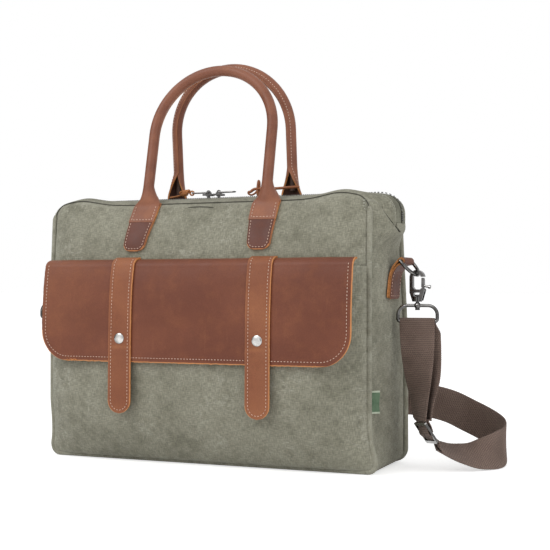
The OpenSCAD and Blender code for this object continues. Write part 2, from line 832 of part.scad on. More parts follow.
// Cross-section of the webbing at a point, where out is the way that its face looks
function web_ring(at, turn, out) =
    [for (c = [[-1, -1], [1, -1], [1, 1], [-1, 1]])
        at + web_across(turn) * c[0] * web_w / 2 + out * c[1] * web_t / 2];
function slack(z) = smooth((loop_low - z) / 14) * smooth((z - drop_end) / 50);
function layer_ring(z, side, start) = let (turn = start - drop_twist * hang(z))
    web_ring(drop_at + [drop_shift * hang(z), 0, z] + web_face(turn) * side * wrap_r
        + (side > 0 ? slack(z) * drop_slack : 0) * (web_across(turn) + web_face(turn) / 2),
        turn, web_face(turn) * side);
function bar_ring(a, start) = let (out = web_face(start) * cos(a) + [0, 0, sin(a)])
    web_ring(drop_at + [0, 0, loop_low] + out * wrap_r, start, out);

// One piece of webbing, up to the bar, round it and down again
module web_wrap(low, count, start) {
    heights = steps(loop_low, low, count);
    color(webbing) loft(concat([for (z = backwards(heights)) layer_ring(z, -1, start)],
        [for (a = [160 : -20 : 20]) bar_ring(a, start)],
        [for (z = heights) layer_ring(z, 1, start)]));
}

module strap_drop_top() { web_wrap(drop_split + 3, 6, loop_turn); }

module strap_drop_low() {
    heights = steps(drop_split - 3, drop_end, 5);
    color(webbing) for (side = [-1, 1])
        loft([for (z = side > 0 ? heights : backwards(heights))
            layer_ring(z, side, loop_turn)]);
}

// Adjuster: a frame with a middle bar, lying across the webbing
glide_at = [237, 1, 40.5];
glide_turn = [32, -8, -57];

module tri_glide() {
    w = 46;
    l = 26;
    color(steel) translate(glide_at) rotate([0, 0, glide_turn[2]]) rotate([glide_turn[0], 0, 0])
    rotate([0, glide_turn[1], 0]) rotate([90, 0, 0]) linear_extrude(2.4, center = true)
    difference() {
        rounded(w, l, 3);
        for (y = [-1, 1]) translate([0, y * 6]) rounded(w - 6, 7.4, 1.5);
    }
}

strap_route = [[245, 7, 27, 10], [252, 10, 24, 14], [261, 14, 20, 20], [271, 20, 17, 28],
    [282, 27, 15, 38], [293, 35, 16, 52], [302, 46, 18, 66], [307, 63, 21, 80],
    [306, 84, 24, 90], [296, 102, 31, 98], [279, 112, 39, 100], [259, 114, 48, 98],
    [238, 110, 58, 95], [216, 103, 64, 92], [194, 95, 67, 90], [155, 86, 66, 90],
    [110, 80, 62, 90], [60, 76, 56, 90], [0, 74, 50, 90], [-60, 75, 48, 90],
    [-115, 79, 52, 90], [-160, 84, 63, 88], [-194, 85, 80, 78], [-214, 79, 98, 62],
    [-225, 64, 115, 42], [-229, 46, 128, 22], [-229, 28, 138, 8], [-228, 14, 144, 0],
    [-228, 7, 147, 0]];

module strap_run() {
    ribbon(strap_route, web_w, web_t);
}

module strap_end_left() { left_side() web_wrap(loop_low - end_piece, 2, 0); }

front_panel();
back_panel();
side_panel_left();
side_panel_right();
bottom_panel();
gusset_front();
gusset_back();
zip_end_left();
zip_end_right();
zip_tape_front();
zip_tape_back();
zip_teeth_front();
zip_teeth_back();
piping_front();
piping_back();
lining();
base_board();
laptop_divider();
back_padding();
front_pocket();
snap_studs();
seam_tag();
side_tab_left();
side_tab_right();
handle_tabs_front();
handle_tabs_back();
tab_patches_front();
tab_patches_back();
flap();
closure_strap_left();
closure_strap_right();
snap_caps();
snap_sockets();
grip_front();
grip_core_front();
grip_back();
grip_core_back();
slider_left();
slider_right();
pull_left();
pull_right();
lace_left();
lace_right();
ring_left();
ring_right();
hook_left();
hook_right();
hook_spring_left();
hook_spring_right();
gate_left();
gate_right();
loop_left();
loop_right();
strap_end_left();
strap_drop_top();
strap_drop_low();
strap_run();
tri_glide();
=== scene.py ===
import json
import math

import bpy
import numpy as np
from mathutils import Matrix, Vector, noise
from mathutils.bvhtree import BVHTree

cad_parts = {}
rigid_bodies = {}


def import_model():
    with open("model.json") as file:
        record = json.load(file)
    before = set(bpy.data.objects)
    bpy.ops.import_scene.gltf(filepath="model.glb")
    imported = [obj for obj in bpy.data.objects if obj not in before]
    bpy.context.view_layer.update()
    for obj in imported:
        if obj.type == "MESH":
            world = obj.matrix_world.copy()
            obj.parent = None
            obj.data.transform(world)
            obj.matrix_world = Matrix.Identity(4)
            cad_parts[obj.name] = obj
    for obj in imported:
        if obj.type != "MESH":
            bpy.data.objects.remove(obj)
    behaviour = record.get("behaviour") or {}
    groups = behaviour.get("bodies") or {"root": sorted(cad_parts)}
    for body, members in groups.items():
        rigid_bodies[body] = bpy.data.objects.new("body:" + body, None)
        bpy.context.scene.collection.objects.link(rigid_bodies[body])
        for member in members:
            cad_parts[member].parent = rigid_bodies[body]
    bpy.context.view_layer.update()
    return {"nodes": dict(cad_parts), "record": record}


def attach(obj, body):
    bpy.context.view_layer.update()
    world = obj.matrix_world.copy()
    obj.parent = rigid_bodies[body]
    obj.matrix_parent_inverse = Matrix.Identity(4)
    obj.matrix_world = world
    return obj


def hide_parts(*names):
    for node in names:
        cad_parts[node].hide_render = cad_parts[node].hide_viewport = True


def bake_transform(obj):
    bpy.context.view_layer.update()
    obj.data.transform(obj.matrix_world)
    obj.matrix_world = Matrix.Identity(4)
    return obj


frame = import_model()
nodes = frame["nodes"]
print("stage 1: frame loaded,", len(nodes), "nodes")

# Sizes in the dictionaries are millimetres, as in the CAD. Points become metres in the meshes.
mm = 0.001

# Camera, from the points read off the photograph

imageSize = (550, 550)

imagePoints = {
    "leftSide": (39.9, 342.6),
    "rightSide": (441.0, 312.0),
    "top": (230.8, 63.9),
    "bottom": (379.0, 475.5),
    "snapLeft": (121.8, 342.6),
    "snapRight": (253.8, 343.6),
    "closureEndLeft": (117.0, 413.8),
    "closureEndRight": (252.9, 419.1),
    "tabEndLeft": (133.0, 253.0),
    "tabEndRight": (259.5, 251.0),
    "sliderLeft": (209.7, 193.2),
    "sliderRight": (222.6, 193.2),
    "sideTabLow": (387.7, 299.7),
    "seamTag": (376.6, 401.5),
    "seamTackRight": (364.0, 204.6),
    "seamTackLeft": (56.5, 217.0),
    "seamPleat": (202.0, 206.5),
}

cameraSetting = {
    "place": (0.529, -1.153, 0.193),
    "heading": 22.0,
    "pitch": 0.78,
    "lens": 72.07,
    "sensor": 36.0,
}

cameraData = bpy.data.cameras.new("Camera")
cameraData.sensor_fit = "AUTO"
cameraData.sensor_width = cameraSetting["sensor"]
cameraData.lens = cameraSetting["lens"]
camera = bpy.data.objects.new("Camera", cameraData)
bpy.context.scene.collection.objects.link(camera)
camera.location = cameraSetting["place"]
camera.rotation_euler = (
    math.radians(90 + cameraSetting["pitch"]), 0, math.radians(cameraSetting["heading"]))
bpy.context.scene.camera = camera
bpy.context.view_layer.update()
focal = max(imageSize) * cameraData.lens / cameraData.sensor_width


def imageRay(x, y):
    # The way in space that a pixel of the photograph looks
    way = Vector((x - imageSize[0] / 2, imageSize[1] / 2 - y, -focal))
    return (camera.matrix_world.to_3x3() @ way).normalized()


def imagePlace(point):
    # Where a point in space shows in the photograph's frame
    seen = camera.matrix_world.inverted() @ Vector(point)
    return (imageSize[0] / 2 - seen.x * focal / seen.z,
            imageSize[1] / 2 + seen.y * focal / seen.z)


def onSurface(pointName, *carriers):
    # Point of the carriers' surface that shows at an image point, with the surface's normal
    vertices = []
    polygons = []
    for carrier in carriers:
        start = len(vertices)
        vertices += [carrier.matrix_world @ v.co for v in carrier.data.vertices]
        polygons += [[start + i for i in p.vertices] for p in carrier.data.polygons]
    tree = BVHTree.FromPolygons(vertices, polygons)
    way = imageRay(*imagePoints[pointName])
    hit, normal, _, _ = tree.ray_cast(camera.location, way)
    if hit is None:
        near = min(vertices, key=lambda v: (v - camera.location).cross(way).length)
        hit, normal, _, _ = tree.find_nearest(near)
    return hit, normal


print("stage 2: camera")

# Numbers and lines


def smooth(t):
    c = min(max(t, 0.0), 1.0)
    return c * c * (3 - 2 * c)


def mix(a, b, t):
    return a + (b - a) * t


def cosd(a):
    return math.cos(math.radians(a))


def sind(a):
    return math.sin(math.radians(a))


def dent(distance, width):
    return math.exp(-(distance / width) ** 2)


def stretch(t, keep=0.35):
    # Closer steps near both ends
    return mix(t, 0.5 - 0.5 * math.cos(math.pi * t), keep)


def ripple(x, y, size, seed):
    # Soft unevenness from -1 to 1, with waves of about the given size
    return noise.noise(Vector((x / size, y / size, seed)))


def cornerCut(r, d):
    return r - math.sqrt(max(0, r * r - max(0, d) ** 2))


def roundedRow(z, low, half, r):
    # Half width at height z of an outline whose lower corners are rounded
    return half - cornerCut(r, low + r - z)


def spread(a, b, count):
    return [mix(a, b, k / count) for k in range(count + 1)]


def arc(x, z, r, angles):
    return [(x + r * cosd(a), z + r * sind(a)) for a in angles]


def hemRow(half, low, r, top, side, along=1, step=3):
    # Down the left side, round the low corners and up the right side
    return ([(-half, z) for z in spread(top, low + r, side)[:-1]]
            + arc(r - half, low + r, r, range(180, 271, step))
            + [(x, low) for x in spread(r - half, half - r, along)[1:-1]]
            + arc(half - r, low + r, r, range(270, 361, step))
            + [(half, z) for z in spread(low + r, top, side)[1:]])


def curveThrough(points, steps):
    # Smooth line through the points, as steps places between each two
    out = []
    last = len(points) - 1
    for i in range(last):
        a, b, c, d = [np.array(points[min(max(k, 0), last)], float)
                      for k in (i - 1, i, i + 1, i + 2)]
        for k in range(steps):
            t = k / steps
            out.append(0.5 * (2 * b + (c - a) * t + (2 * a - 5 * b + 4 * c - d) * t * t
                              + (3 * b - a - 3 * c + d) * t ** 3))
    out.append(np.array(points[last], float))
    return out


def lengthsOf(line):
    return np.concatenate([[0], np.cumsum(np.linalg.norm(np.diff(line, axis=0), axis=1))])


def valuesAt(at, lengths, line):
    return np.stack([np.interp(at, lengths, column) for column in line.T], axis=-1)


def evenly(points, gap):
    # The same line with its places the given distance apart
    line = np.array(points, float)
    lengths = lengthsOf(line)
    count = max(2, int(round(lengths[-1] / gap)) + 1)
    return valuesAt(np.linspace(0, lengths[-1], count), lengths, line)


def onLine(line, k):
    # What the line holds k steps along it, and the way it runs there
    last = len(line) - 1
    i = min(int(k), last - 1)
    return line[i] + (line[i + 1] - line[i]) * (k - i), line[min(i + 2, last)] - line[max(i - 1, 0)]


# Small tools

finishes = {}


def pick(piece):
    bpy.ops.object.select_all(action="DESELECT")
    piece.select_set(True)
    bpy.context.view_layer.objects.active = piece


def primitive(kind, name, **settings):
    bpy.ops.object.select_all(action="DESELECT")
    getattr(bpy.ops.mesh, "primitive_" + kind + "_add")(**settings)
    piece = bpy.context.object
    piece.name = name
    piece.data.name = name
    return piece


def edit(piece, *steps):
    # Each step works on the whole mesh
    pick(piece)
    bpy.ops.object.mode_set(mode="EDIT")
    for step, settings in steps:
        bpy.ops.mesh.select_all(action="SELECT")
        step(**settings)
    bpy.ops.object.mode_set(mode="OBJECT")


def applyModifier(piece, kind, **settings):
    pick(piece)
    modifier = piece.modifiers.new(kind, kind)
    for key, value in settings.items():
        setattr(modifier, key, value)
    bpy.ops.object.modifier_apply(modifier=modifier.name)


def shadeSmooth(piece, angle=40):
    pick(piece)
    bpy.ops.object.shade_smooth_by_angle(angle=math.radians(angle))


def paint(piece, *looks):
    slots = piece.data.materials
    while len(slots) < len(looks):
        slots.append(None)
    while len(slots) > len(looks):
        slots.pop(index=len(slots) - 1)
    for k, look in enumerate(looks):
        slots[k] = finishes[look]


def finished(piece, body, slot, *replaced):
    if replaced:
        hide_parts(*replaced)
    if body:
        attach(piece, body)
    return piece


def join(name, pieces):
    pick(pieces[0])
    for other in pieces[1:]:
        other.select_set(True)
    if len(pieces) > 1:
        bpy.ops.object.join()
    pieces[0].name = name
    pieces[0].data.name = name
    return pieces[0]


def gridPiece(name, columns, rows, place):
    # A grid whose vertices go where place(u, v) says: the point, its flat place and its wear, which is
    # painted seam shade where negative
    piece = primitive("grid", name, x_subdivisions=columns, y_subdivisions=rows, size=2)
    mesh = piece.data
    flat = []
    wear = []
    for vertex in mesh.vertices:
        point, where, worn = place((vertex.co.x + 1) / 2, (vertex.co.y + 1) / 2)
        vertex.co = Vector(point) * mm
        flat.append((where[0] * mm, where[1] * mm))
        wear.append(worn)
    uv = mesh.uv_layers.active.data
    for loop in mesh.loops:
        uv[loop.index].uv = flat[loop.vertex_index]
    mesh.attributes.new("wear", "FLOAT", "POINT").data.foreach_set("value", wear)
    return piece


def sheet(name, columns, rows, place, thick, *looks, edge=0.0, angle=40, flip=False):
    # Its thickness grows to the inside. The first finish is the face, the second the rim and
    # the rounded edge, the third the inside
    piece = gridPiece(name, columns, rows, place)
    if flip:
        edit(piece, (bpy.ops.mesh.flip_normals, {}))
    paint(piece, *looks)
    applyModifier(piece, "SOLIDIFY", thickness=thick * mm, offset=-1, use_even_offset=edge == 0,
                  use_quality_normals=True, material_offset_rim=min(len(looks) - 1, 1),
                  material_offset=2 if len(looks) > 2 else 0)
    if edge:
        applyModifier(piece, "BEVEL", width=edge * mm, segments=2, limit_method="ANGLE",
                      angle_limit=math.radians(50), material=1)
    shadeSmooth(piece, angle)
    return piece


def closedPiece(name, columns, rows, place, look, angle=60):
    # A grid wrapped round into a tube or a bag, with its ends filled
    piece = gridPiece(name, columns, rows, place)
    edit(piece, (bpy.ops.mesh.remove_doubles, {"threshold": 0.00002}),
         (bpy.ops.mesh.fill_holes, {"sides": 0}),
         (bpy.ops.mesh.normals_make_consistent, {"inside": False}))
    shadeSmooth(piece, angle)
    paint(piece, look)
    return piece


def tubePiece(name, line, radius, look, around=6, flatten=1.0, gap=2.0):
    # A round or flattened cord along a line, with rounded ends
    line = evenly(line, gap)
    total = lengthsOf(line)[-1]

    def place(u, v):
        centre, ahead = onLine(line, v * (len(line) - 1))
        along = Vector(ahead).normalized()
        side = along.cross(Vector((0, 0, 1))).normalized()
        end = min(v, 1 - v) * total
        r = radius * math.sqrt(1 - (1 - min(end / radius, 1)) ** 2 * 0.94)
        a = 2 * math.pi * u
        point = Vector(centre) + side * math.cos(a) * r + side.cross(along) * math.sin(a) * r * flatten
        return point, (u * 2 * math.pi * radius, v * total), 0.3

    return closedPiece(name, around, len(line) - 1, place, look)


def shapeOf(piece):
    # Points and faces of a small model, which is then taken away
    shape = (np.array([v.co for v in piece.data.vertices]),
             [tuple(p.vertices) for p in piece.data.polygons])
    bpy.data.objects.remove(piece)
    return shape


def copiesPiece(name, shape, places, look, angle):
    # Copies of one shape in one mesh; a place is its middle and its three ways, with their sizes
    points = []
    faces = []
    for middle, ways in places:
        start = len(points)
        points += [tuple(p * mm) for p in np.array(middle) + shape[0] @ np.array(ways)]
        faces += [tuple(start + i for i in face) for face in shape[1]]
    mesh = bpy.data.meshes.new(name)
    mesh.from_pydata(points, [], faces)
    piece = bpy.data.objects.new(name, mesh)
    bpy.context.scene.collection.objects.link(piece)
    shadeSmooth(piece, angle)
    paint(piece, look)
    return piece


stitchShape = shapeOf(primitive("uv_sphere", "Stitch", segments=6, ring_count=4, radius=0.5))


def stitches(name, rows, length=2.1, gap=1.5, thick=0.95, look="thread"):
    # Rows of (points, outward ways): the small stitch is copied along them
    places = []
    for points, ways in rows:
        line = np.array(points, float)
        ways = np.array(ways, float)
        lengths = lengthsOf(line)
        count = max(1, int(lengths[-1] / (length + gap)))
        pitch = lengths[-1] / count
        for k in range(count):
            first, last = valuesAt([k * pitch + gap / 2, (k + 1) * pitch - gap / 2], lengths, line)
            out = valuesAt((k + 0.5) * pitch, lengths, ways)
            size = np.linalg.norm(last - first)
            if size < 0.3:
                continue
            along = (last - first) / size
            side = np.cross(out, along)
            side /= np.linalg.norm(side)
            out = np.cross(along, side)
            places.append(((first + last) / 2 + out * (thick / 2 - 0.2),
                           (along * size * 1.08, side * thick, out * thick)))
    return copiesPiece(name, stitchShape, places, look, 80)


# Finishes


class Nodes:
    # The nodes of one material or of the world, joined step by step
    def __init__(self, tree, main):
        self.tree = tree
        self.main = tree.nodes[main]

    def fill(self, made, **inputs):
        for key, value in inputs.items():
            socket = made.inputs[int(key[1:]) if key[1:].isdigit() else key.replace("_", " ")]
            if isinstance(value, bpy.types.NodeSocket):
                self.tree.links.new(value, socket)
            elif socket.type == "RGBA":
                socket.default_value = (*value, 1.0)
            else:
                socket.default_value = value
        return made

    def add(self, kind, settings=None, **inputs):
        made = self.tree.nodes.new("ShaderNode" + kind)
        for key, value in (settings or {}).items():
            setattr(made, key, value)
        return self.fill(made, **inputs)

    def where(self, kind="Object", scale=(1, 1, 1), turn=(0, 0, 0)):
        source = self.add("TexCoord").outputs[kind]
        return self.add("Mapping", Vector=source, Scale=scale,
                        Rotation=[math.radians(a) for a in turn]).outputs["Vector"]

    def noise(self, where, scale, detail=2.0, roughness=0.5):
        return self.add("TexNoise", Vector=where, Scale=scale, Detail=detail,
                        Roughness=roughness).outputs["Fac"]

    def wave(self, where, pitch, way, **inputs):
        return self.add("TexWave", {"bands_direction": way}, Vector=where,
                        Scale=1000 / pitch / 6.283, **inputs).outputs["Fac"]

    def ramp(self, value, low, high, toLow=0.0, toHigh=1.0):
        return self.add("MapRange", {"interpolation_type": "SMOOTHSTEP"}, Value=value,
                        From_Min=low, From_Max=high, To_Min=toLow, To_Max=toHigh).outputs["Result"]

    def maths(self, operation, a, b=0.0):
        return self.add("Math", {"operation": operation}, i0=a, i1=b).outputs[0]

    def blend(self, amount, a, b, how="MIX"):
        return self.add("Mix", {"data_type": "RGBA", "blend_type": how}, i0=amount, i6=a,
                        i7=b).outputs[2]

    def shaded(self, base, grey):
        grey = self.add("CombineColor", i0=grey, i1=grey, i2=grey)
        return self.blend(1.0, base, grey.outputs[0], "MULTIPLY")

    def wear(self):
        # Wear, and painted shade in seams where the value is negative
        return self.add("Attribute", {"attribute_name": "wear"}).outputs["Fac"]

    def bump(self, height, strength, distance, **under):
        return self.add("Bump", Height=height, Strength=strength, Distance=distance,
                        **under).outputs["Normal"]

    def straightSeen(self):
        # One for what the camera, a mirror or glass sees, and nothing for the light itself
        path = self.add("LightPath").outputs
        glass = self.maths("MAXIMUM", path["Is Glossy Ray"], path["Is Transmission Ray"])
        return self.maths("MAXIMUM", path["Is Camera Ray"], glass)


def newFinish(name):
    material = bpy.data.materials.new(name)
    material.use_nodes = True
    finishes[name] = material
    return Nodes(material.node_tree, "Principled BSDF")


canvasLook = {
    "light": (0.325, 0.316, 0.246),
    "middle": (0.252, 0.245, 0.184),
    "dark": (0.180, 0.175, 0.128),
    "pale": (0.42, 0.41, 0.335),
    # seam is the colour of painted shade laid into seam grooves, folds and the piping's inner side
    "seam": (0.055, 0.055, 0.042),
    "pitch": 1000 / 1500,
}


def canvasFinish(name="canvas", shade=1.0):
    m = newFinish(name)
    light, middle, dark, pale, seamShade = [
        tuple(c * shade for c in canvasLook[k]) for k in ("light", "middle", "dark", "pale", "seam")]
    where = m.where()
    cloth = m.where("UV")
    clouds = m.noise(where, 14.0, 5.0, 0.62)
    mottle = m.noise(where, 75.0, 4.0, 0.6)
    base = m.blend(m.ramp(clouds, 0.36, 0.64), dark, light)
    base = m.blend(0.5, base, middle)
    base = m.blend(m.ramp(mottle, 0.35, 0.68, 0.0, 0.55), base, light)
    base = m.blend(m.ramp(mottle, 0.5, 0.3, 0.0, 0.45), base, dark)
    creases = []
    for scale, turn, width in (((16, 46, 1), 28, 0.022), ((44, 15, 1), 22, 0.018)):
        crease = m.noise(m.where("UV", scale, (0, 0, turn)), 1.0, 3.0, 0.6)
        off = m.maths("ABSOLUTE", m.maths("SUBTRACT", crease, 0.5))
        creases.append(m.ramp(off, width, 0.0))
    patches = m.ramp(m.noise(where, 26.0), 0.5, 0.66, 0.0, 0.5)
    base = m.blend(m.maths("MULTIPLY", m.maths("MAXIMUM", *creases), patches), base, pale)
    threads = m.maths("ADD", *[m.ramp(m.noise(m.where("UV", scale), 1.0), 0.3, 0.72, -0.5, 0.5)
                               for scale in ((1400, 190, 1), (190, 1400, 1))])
    base = m.shaded(base, m.ramp(threads, -0.8, 0.8, 0.76, 1.26))
    # worn is pale wear, and painted seam shade where it is negative
    worn = m.wear()
    paleness = m.maths("MULTIPLY", worn, m.ramp(mottle, 0.3, 0.7, 0.35, 0.85))
    base = m.blend(paleness, base, pale)
    # Painted shade: where the channel is negative, in seam grooves and folds, the canvas turns dark
    base = m.blend(m.ramp(worn, -0.15, -0.9, 0.0, 0.72), base, seamShade)
    waves = [m.wave(cloth, canvasLook["pitch"], way, Distortion=0.6, Detail=1.0) for way in "XY"]
    weave = m.maths("ADD", m.maths("MAXIMUM", *waves), m.maths("MULTIPLY", threads, 1.2))
    normal = m.bump(mottle, 0.35, 0.0012, Normal=m.bump(weave, 0.45, 0.0003))
    m.fill(m.main, Base_Color=base, Normal=normal, Roughness=0.93, Specular_IOR_Level=0.22,
           Sheen_Weight=0.12, Sheen_Roughness=0.6)


cutEdge = (0.66, 0.285, 0.11)


def leatherFinish(name, main, deep, worn, gloss=0.42, seed=0.0):
    m = newFinish(name)
    where = m.where()
    clouds = m.noise(m.where("Object", (1, 1, 1.6), (0, seed, 0)), 9.0, 4.0, 0.55)
    spots = m.noise(where, 60.0, 4.0, 0.6)
    grain = m.noise(where, 900.0, 3.0, 0.6)
    cells = m.add("TexVoronoi", {"feature": "DISTANCE_TO_EDGE"}, Vector=where, Scale=1300.0)
    scratch = m.noise(m.where("Object", (240, 240, 22), (20, 30, 15)), 1.0)
    base = m.blend(m.ramp(clouds, 0.36, 0.66), deep, main)
    base = m.blend(m.ramp(spots, 0.45, 0.75, 0.0, 0.2), base, worn)
    base = m.blend(m.ramp(scratch, 0.66, 0.74, 0.0, 0.12), base, worn)
    wear = m.wear()
    base = m.blend(m.maths("MULTIPLY", wear, m.ramp(spots, 0.3, 0.7, 0.45, 1.0)), base, worn)
    # Wear above one is a cut edge, where the raw inside of the leather shows
    base = m.blend(m.ramp(wear, 0.9, 1.15, 0.0, 0.92), base, cutEdge)
    base = m.shaded(base, m.ramp(grain, 0.3, 0.7, 0.9, 1.08))
    pores = m.maths("MULTIPLY", m.ramp(cells.outputs["Distance"], 0.0, 0.25), 0.5)
    fine = m.bump(m.maths("ADD", grain, pores), 0.25, 0.00025)
    m.fill(m.main, Base_Color=base, Normal=m.bump(spots, 0.25, 0.001, Normal=fine),
           Roughness=m.ramp(spots, 0.3, 0.7, gloss - 0.05, gloss + 0.12), Specular_IOR_Level=0.27)


def rawEdgeFinish():
    m = newFinish("rawEdge")
    fibres = m.noise(m.where(), 420.0, 4.0, 0.7)
    patches = m.ramp(m.noise(m.where(), 70.0), 0.45, 0.7, 0.0, 0.4)
    base = m.blend(m.ramp(fibres, 0.3, 0.7), (0.42, 0.165, 0.052), (0.74, 0.335, 0.13))
    m.fill(m.main, Base_Color=m.blend(patches, base, (0.32, 0.115, 0.038)),
           Normal=m.bump(fibres, 0.8, 0.0006), Roughness=0.9, Specular_IOR_Level=0.2)


def fabricFinish(name, light, dark, pitch, strength=0.5):
    # Plain woven tape or lining
    m = newFinish(name)
    where = m.where()
    weave = m.maths("MULTIPLY", *[m.wave(where, pitch, way, Distortion=1.0) for way in "XZ"])
    m.fill(m.main, Base_Color=m.blend(m.ramp(m.noise(where, 130.0, 3.0), 0.3, 0.7), dark, light),
           Normal=m.bump(weave, strength, 0.0003), Roughness=0.9, Specular_IOR_Level=0.25)


def webbingFinish():
    # Ribs follow the webbing's own length, with a small knot where warp crosses weft. The knots and
    # the grooves between ribs are darkened as painted shade
    m = newFinish("webbing")
    knots = m.add("TexBrick", {"offset": 0.5, "squash": 1.0}, Scale=1.0, Mortar_Size=0.16,
                  Vector=m.where("UV", (1000 / 2.2, 1000 / 2.0, 1)), Mortar_Smooth=0.8,
                  Brick_Width=1.0, Row_Height=1.0).outputs["Fac"]
    clouds = m.noise(m.where(), 40.0, 3.0)
    fibres = m.noise(m.where("UV", (2600, 700, 1)), 1.0)
    along = m.add("SeparateXYZ", Vector=m.where("UV")).outputs["Y"]
    ribs = m.maths("COSINE", m.maths("MULTIPLY", along, 1000 * math.pi))
    base = m.blend(m.ramp(clouds, 0.3, 0.7), (0.245, 0.165, 0.130), (0.335, 0.232, 0.188))
    base = m.blend(m.ramp(fibres, 0.35, 0.75, 0.0, 0.55), base, (0.47, 0.345, 0.285))
    # Painted shade in the knots' dents
    base = m.blend(m.maths("MULTIPLY", knots, 0.7), base, (0.045, 0.030, 0.024))
    # Painted shade in the grooves between the ribs
    base = m.blend(m.ramp(ribs, 0.1, -0.9, 0.0, 0.75), base, (0.035, 0.023, 0.018))
    height = m.maths("SUBTRACT", m.maths("MULTIPLY", fibres, 0.4), knots)
    m.fill(m.main, Base_Color=base, Normal=m.bump(height, 0.7, 0.0005), Roughness=0.8,
           Specular_IOR_Level=0.3, Sheen_Weight=0.1)


def metalFinish(name, tint, dull, rough, shaded=0.7, roomReflection=0.0):
    m = newFinish(name)
    where = m.where()
    smears = m.noise(where, 160.0, 4.0, 0.6)
    base = m.blend(m.ramp(smears, 0.35, 0.7), dull, tint)
    # Painted reflection: polished round metal is darkened at its sides, as if mirroring a dark room
    reflectedDark = (0.020, 0.019, 0.018)
    if roomReflection:
        # and painted reflection of the room's dark side where the normal faces away from a fixed
        # up-left way
        normal = m.add("NewGeometry").outputs["Normal"]
        upLeft = m.add("VectorMath", {"operation": "DOT_PRODUCT"}, i0=normal,
                       i1=(-0.30, -0.60, 0.74)).outputs["Value"]
        away = m.maths("MULTIPLY", m.ramp(upLeft, 0.80, 0.60), m.ramp(upLeft, -0.15, 0.1, 0.35))
        base = m.blend(m.maths("MULTIPLY", away, roomReflection), base, reflectedDark)
    # Painted reflection: dark rims by the facing ratio, and a bright tint at grazing angles as a
    # painted highlight
    facing = m.add("LayerWeight").outputs["Facing"]
    base = m.blend(m.ramp(facing, 0.07, 0.3, 0.0, shaded), base, reflectedDark)
    base = m.blend(m.ramp(facing, 0.62, 0.9, 0.0, 0.45), base, tint)
    m.fill(m.main, Base_Color=base, Roughness=m.ramp(smears, 0.3, 0.7, rough + 0.1, rough),
           Normal=m.bump(m.noise(where, 600.0), 0.08, 0.0004), Metallic=1.0)


def threadFinish(name, light, dark):
    m = newFinish(name)
    twist = m.noise(m.where(), 900.0)
    m.fill(m.main, Base_Color=m.blend(m.ramp(twist, 0.35, 0.65), dark, light), Roughness=0.7,
           Normal=m.bump(twist, 0.5, 0.0003))


canvasFinish()
# A darkened copy of the canvas, as painted shade in seam grooves
canvasFinish("canvasSeam", 0.26)
leatherFinish("leather", (0.204, 0.066, 0.035), (0.158, 0.048, 0.026), (0.325, 0.124, 0.056))
leatherFinish("leatherBright", (0.308, 0.113, 0.053), (0.240, 0.080, 0.038),
              (0.44, 0.175, 0.075), 0.46, 25.0)
leatherFinish("leatherRoll", (0.280, 0.110, 0.066), (0.200, 0.074, 0.044),
              (0.44, 0.190, 0.100), 0.4, 50.0)
leatherFinish("leatherPatch", (0.140, 0.044, 0.027), (0.098, 0.030, 0.018),
              (0.235, 0.085, 0.045), 0.4, 75.0)
# Darker leather for the side tabs: partly their own darker brown, partly painted shade of the bag's
# side
leatherFinish("leatherSide", (0.145, 0.046, 0.026), (0.101, 0.032, 0.018),
              (0.30, 0.120, 0.060), 0.5, 130.0)
leatherFinish("leatherLace", (0.50, 0.200, 0.075), (0.36, 0.130, 0.050),
              (0.64, 0.290, 0.120), 0.6, 110.0)
# Painted shade: a darkened leather for the inside of the rolled handles
leatherFinish("leatherDark", (0.085, 0.040, 0.030), (0.052, 0.024, 0.018),
              (0.14, 0.062, 0.042), 0.6, 90.0)
rawEdgeFinish()
fabricFinish("tape", (0.225, 0.222, 0.172), (0.155, 0.153, 0.118), 1.0)
fabricFinish("lining", (0.085, 0.090, 0.100), (0.055, 0.060, 0.068), 0.8)
fabricFinish("foam", (0.045, 0.048, 0.052), (0.028, 0.030, 0.034), 2.6, 0.9)
fabricFinish("board", (0.035, 0.034, 0.033), (0.022, 0.021, 0.021), 3.4)
fabricFinish("tag", (0.135, 0.205, 0.130), (0.090, 0.150, 0.090), 0.7)
fabricFinish("tagEdge", (0.55, 0.60, 0.48), (0.42, 0.47, 0.36), 0.7)
webbingFinish()
metalFinish("gunmetal", (0.66, 0.645, 0.63), (0.46, 0.45, 0.44), 0.12, 0.75, 0.80)
metalFinish("nickel", (0.70, 0.69, 0.67), (0.50, 0.49, 0.48), 0.22, 0.5)
metalFinish("spring", (0.60, 0.60, 0.61), (0.42, 0.42, 0.43), 0.2)
metalFinish("teeth", (0.34, 0.335, 0.32), (0.20, 0.198, 0.19), 0.3)
threadFinish("thread", (0.78, 0.56, 0.45), (0.60, 0.40, 0.30))
threadFinish("canvasThread", (0.50, 0.50, 0.42), (0.34, 0.34, 0.28))
threadFinish("coreCord", (0.10, 0.056, 0.040), (0.065, 0.036, 0.026))
print("stage 3: finishes,", len(finishes))

# Shape of the filled bag, as in the CAD

bag = {
    "width": 400, "frontWidth": 376, "depth": 100, "seamHeight": 292, "crown": 8,
    "cornerRadius": 14, "frontBulge": 26, "canvas": 2.2, "baseRadius": 14, "lean": 22,
    "pocketHeight": 219, "pocketGap": 11, "pocketCanvas": 1.5,
    "sagMiddle": -2.0, "liftSide": 6.5, "liftAt": 156, "liftSpread": 26,
}
seamHeight = bag["seamHeight"]
cornerRadius = bag["cornerRadius"]
frontHalf = bag["frontWidth"] / 2
backHalf = bag["width"] / 2
canvasThick = bag["canvas"]
pipeOut = 2.15
pipeLow = pipeOut + 0.2
panelLow = pipeLow + pipeOut
panelRadius = bag["baseRadius"] - pipeOut
clearance = 0.3


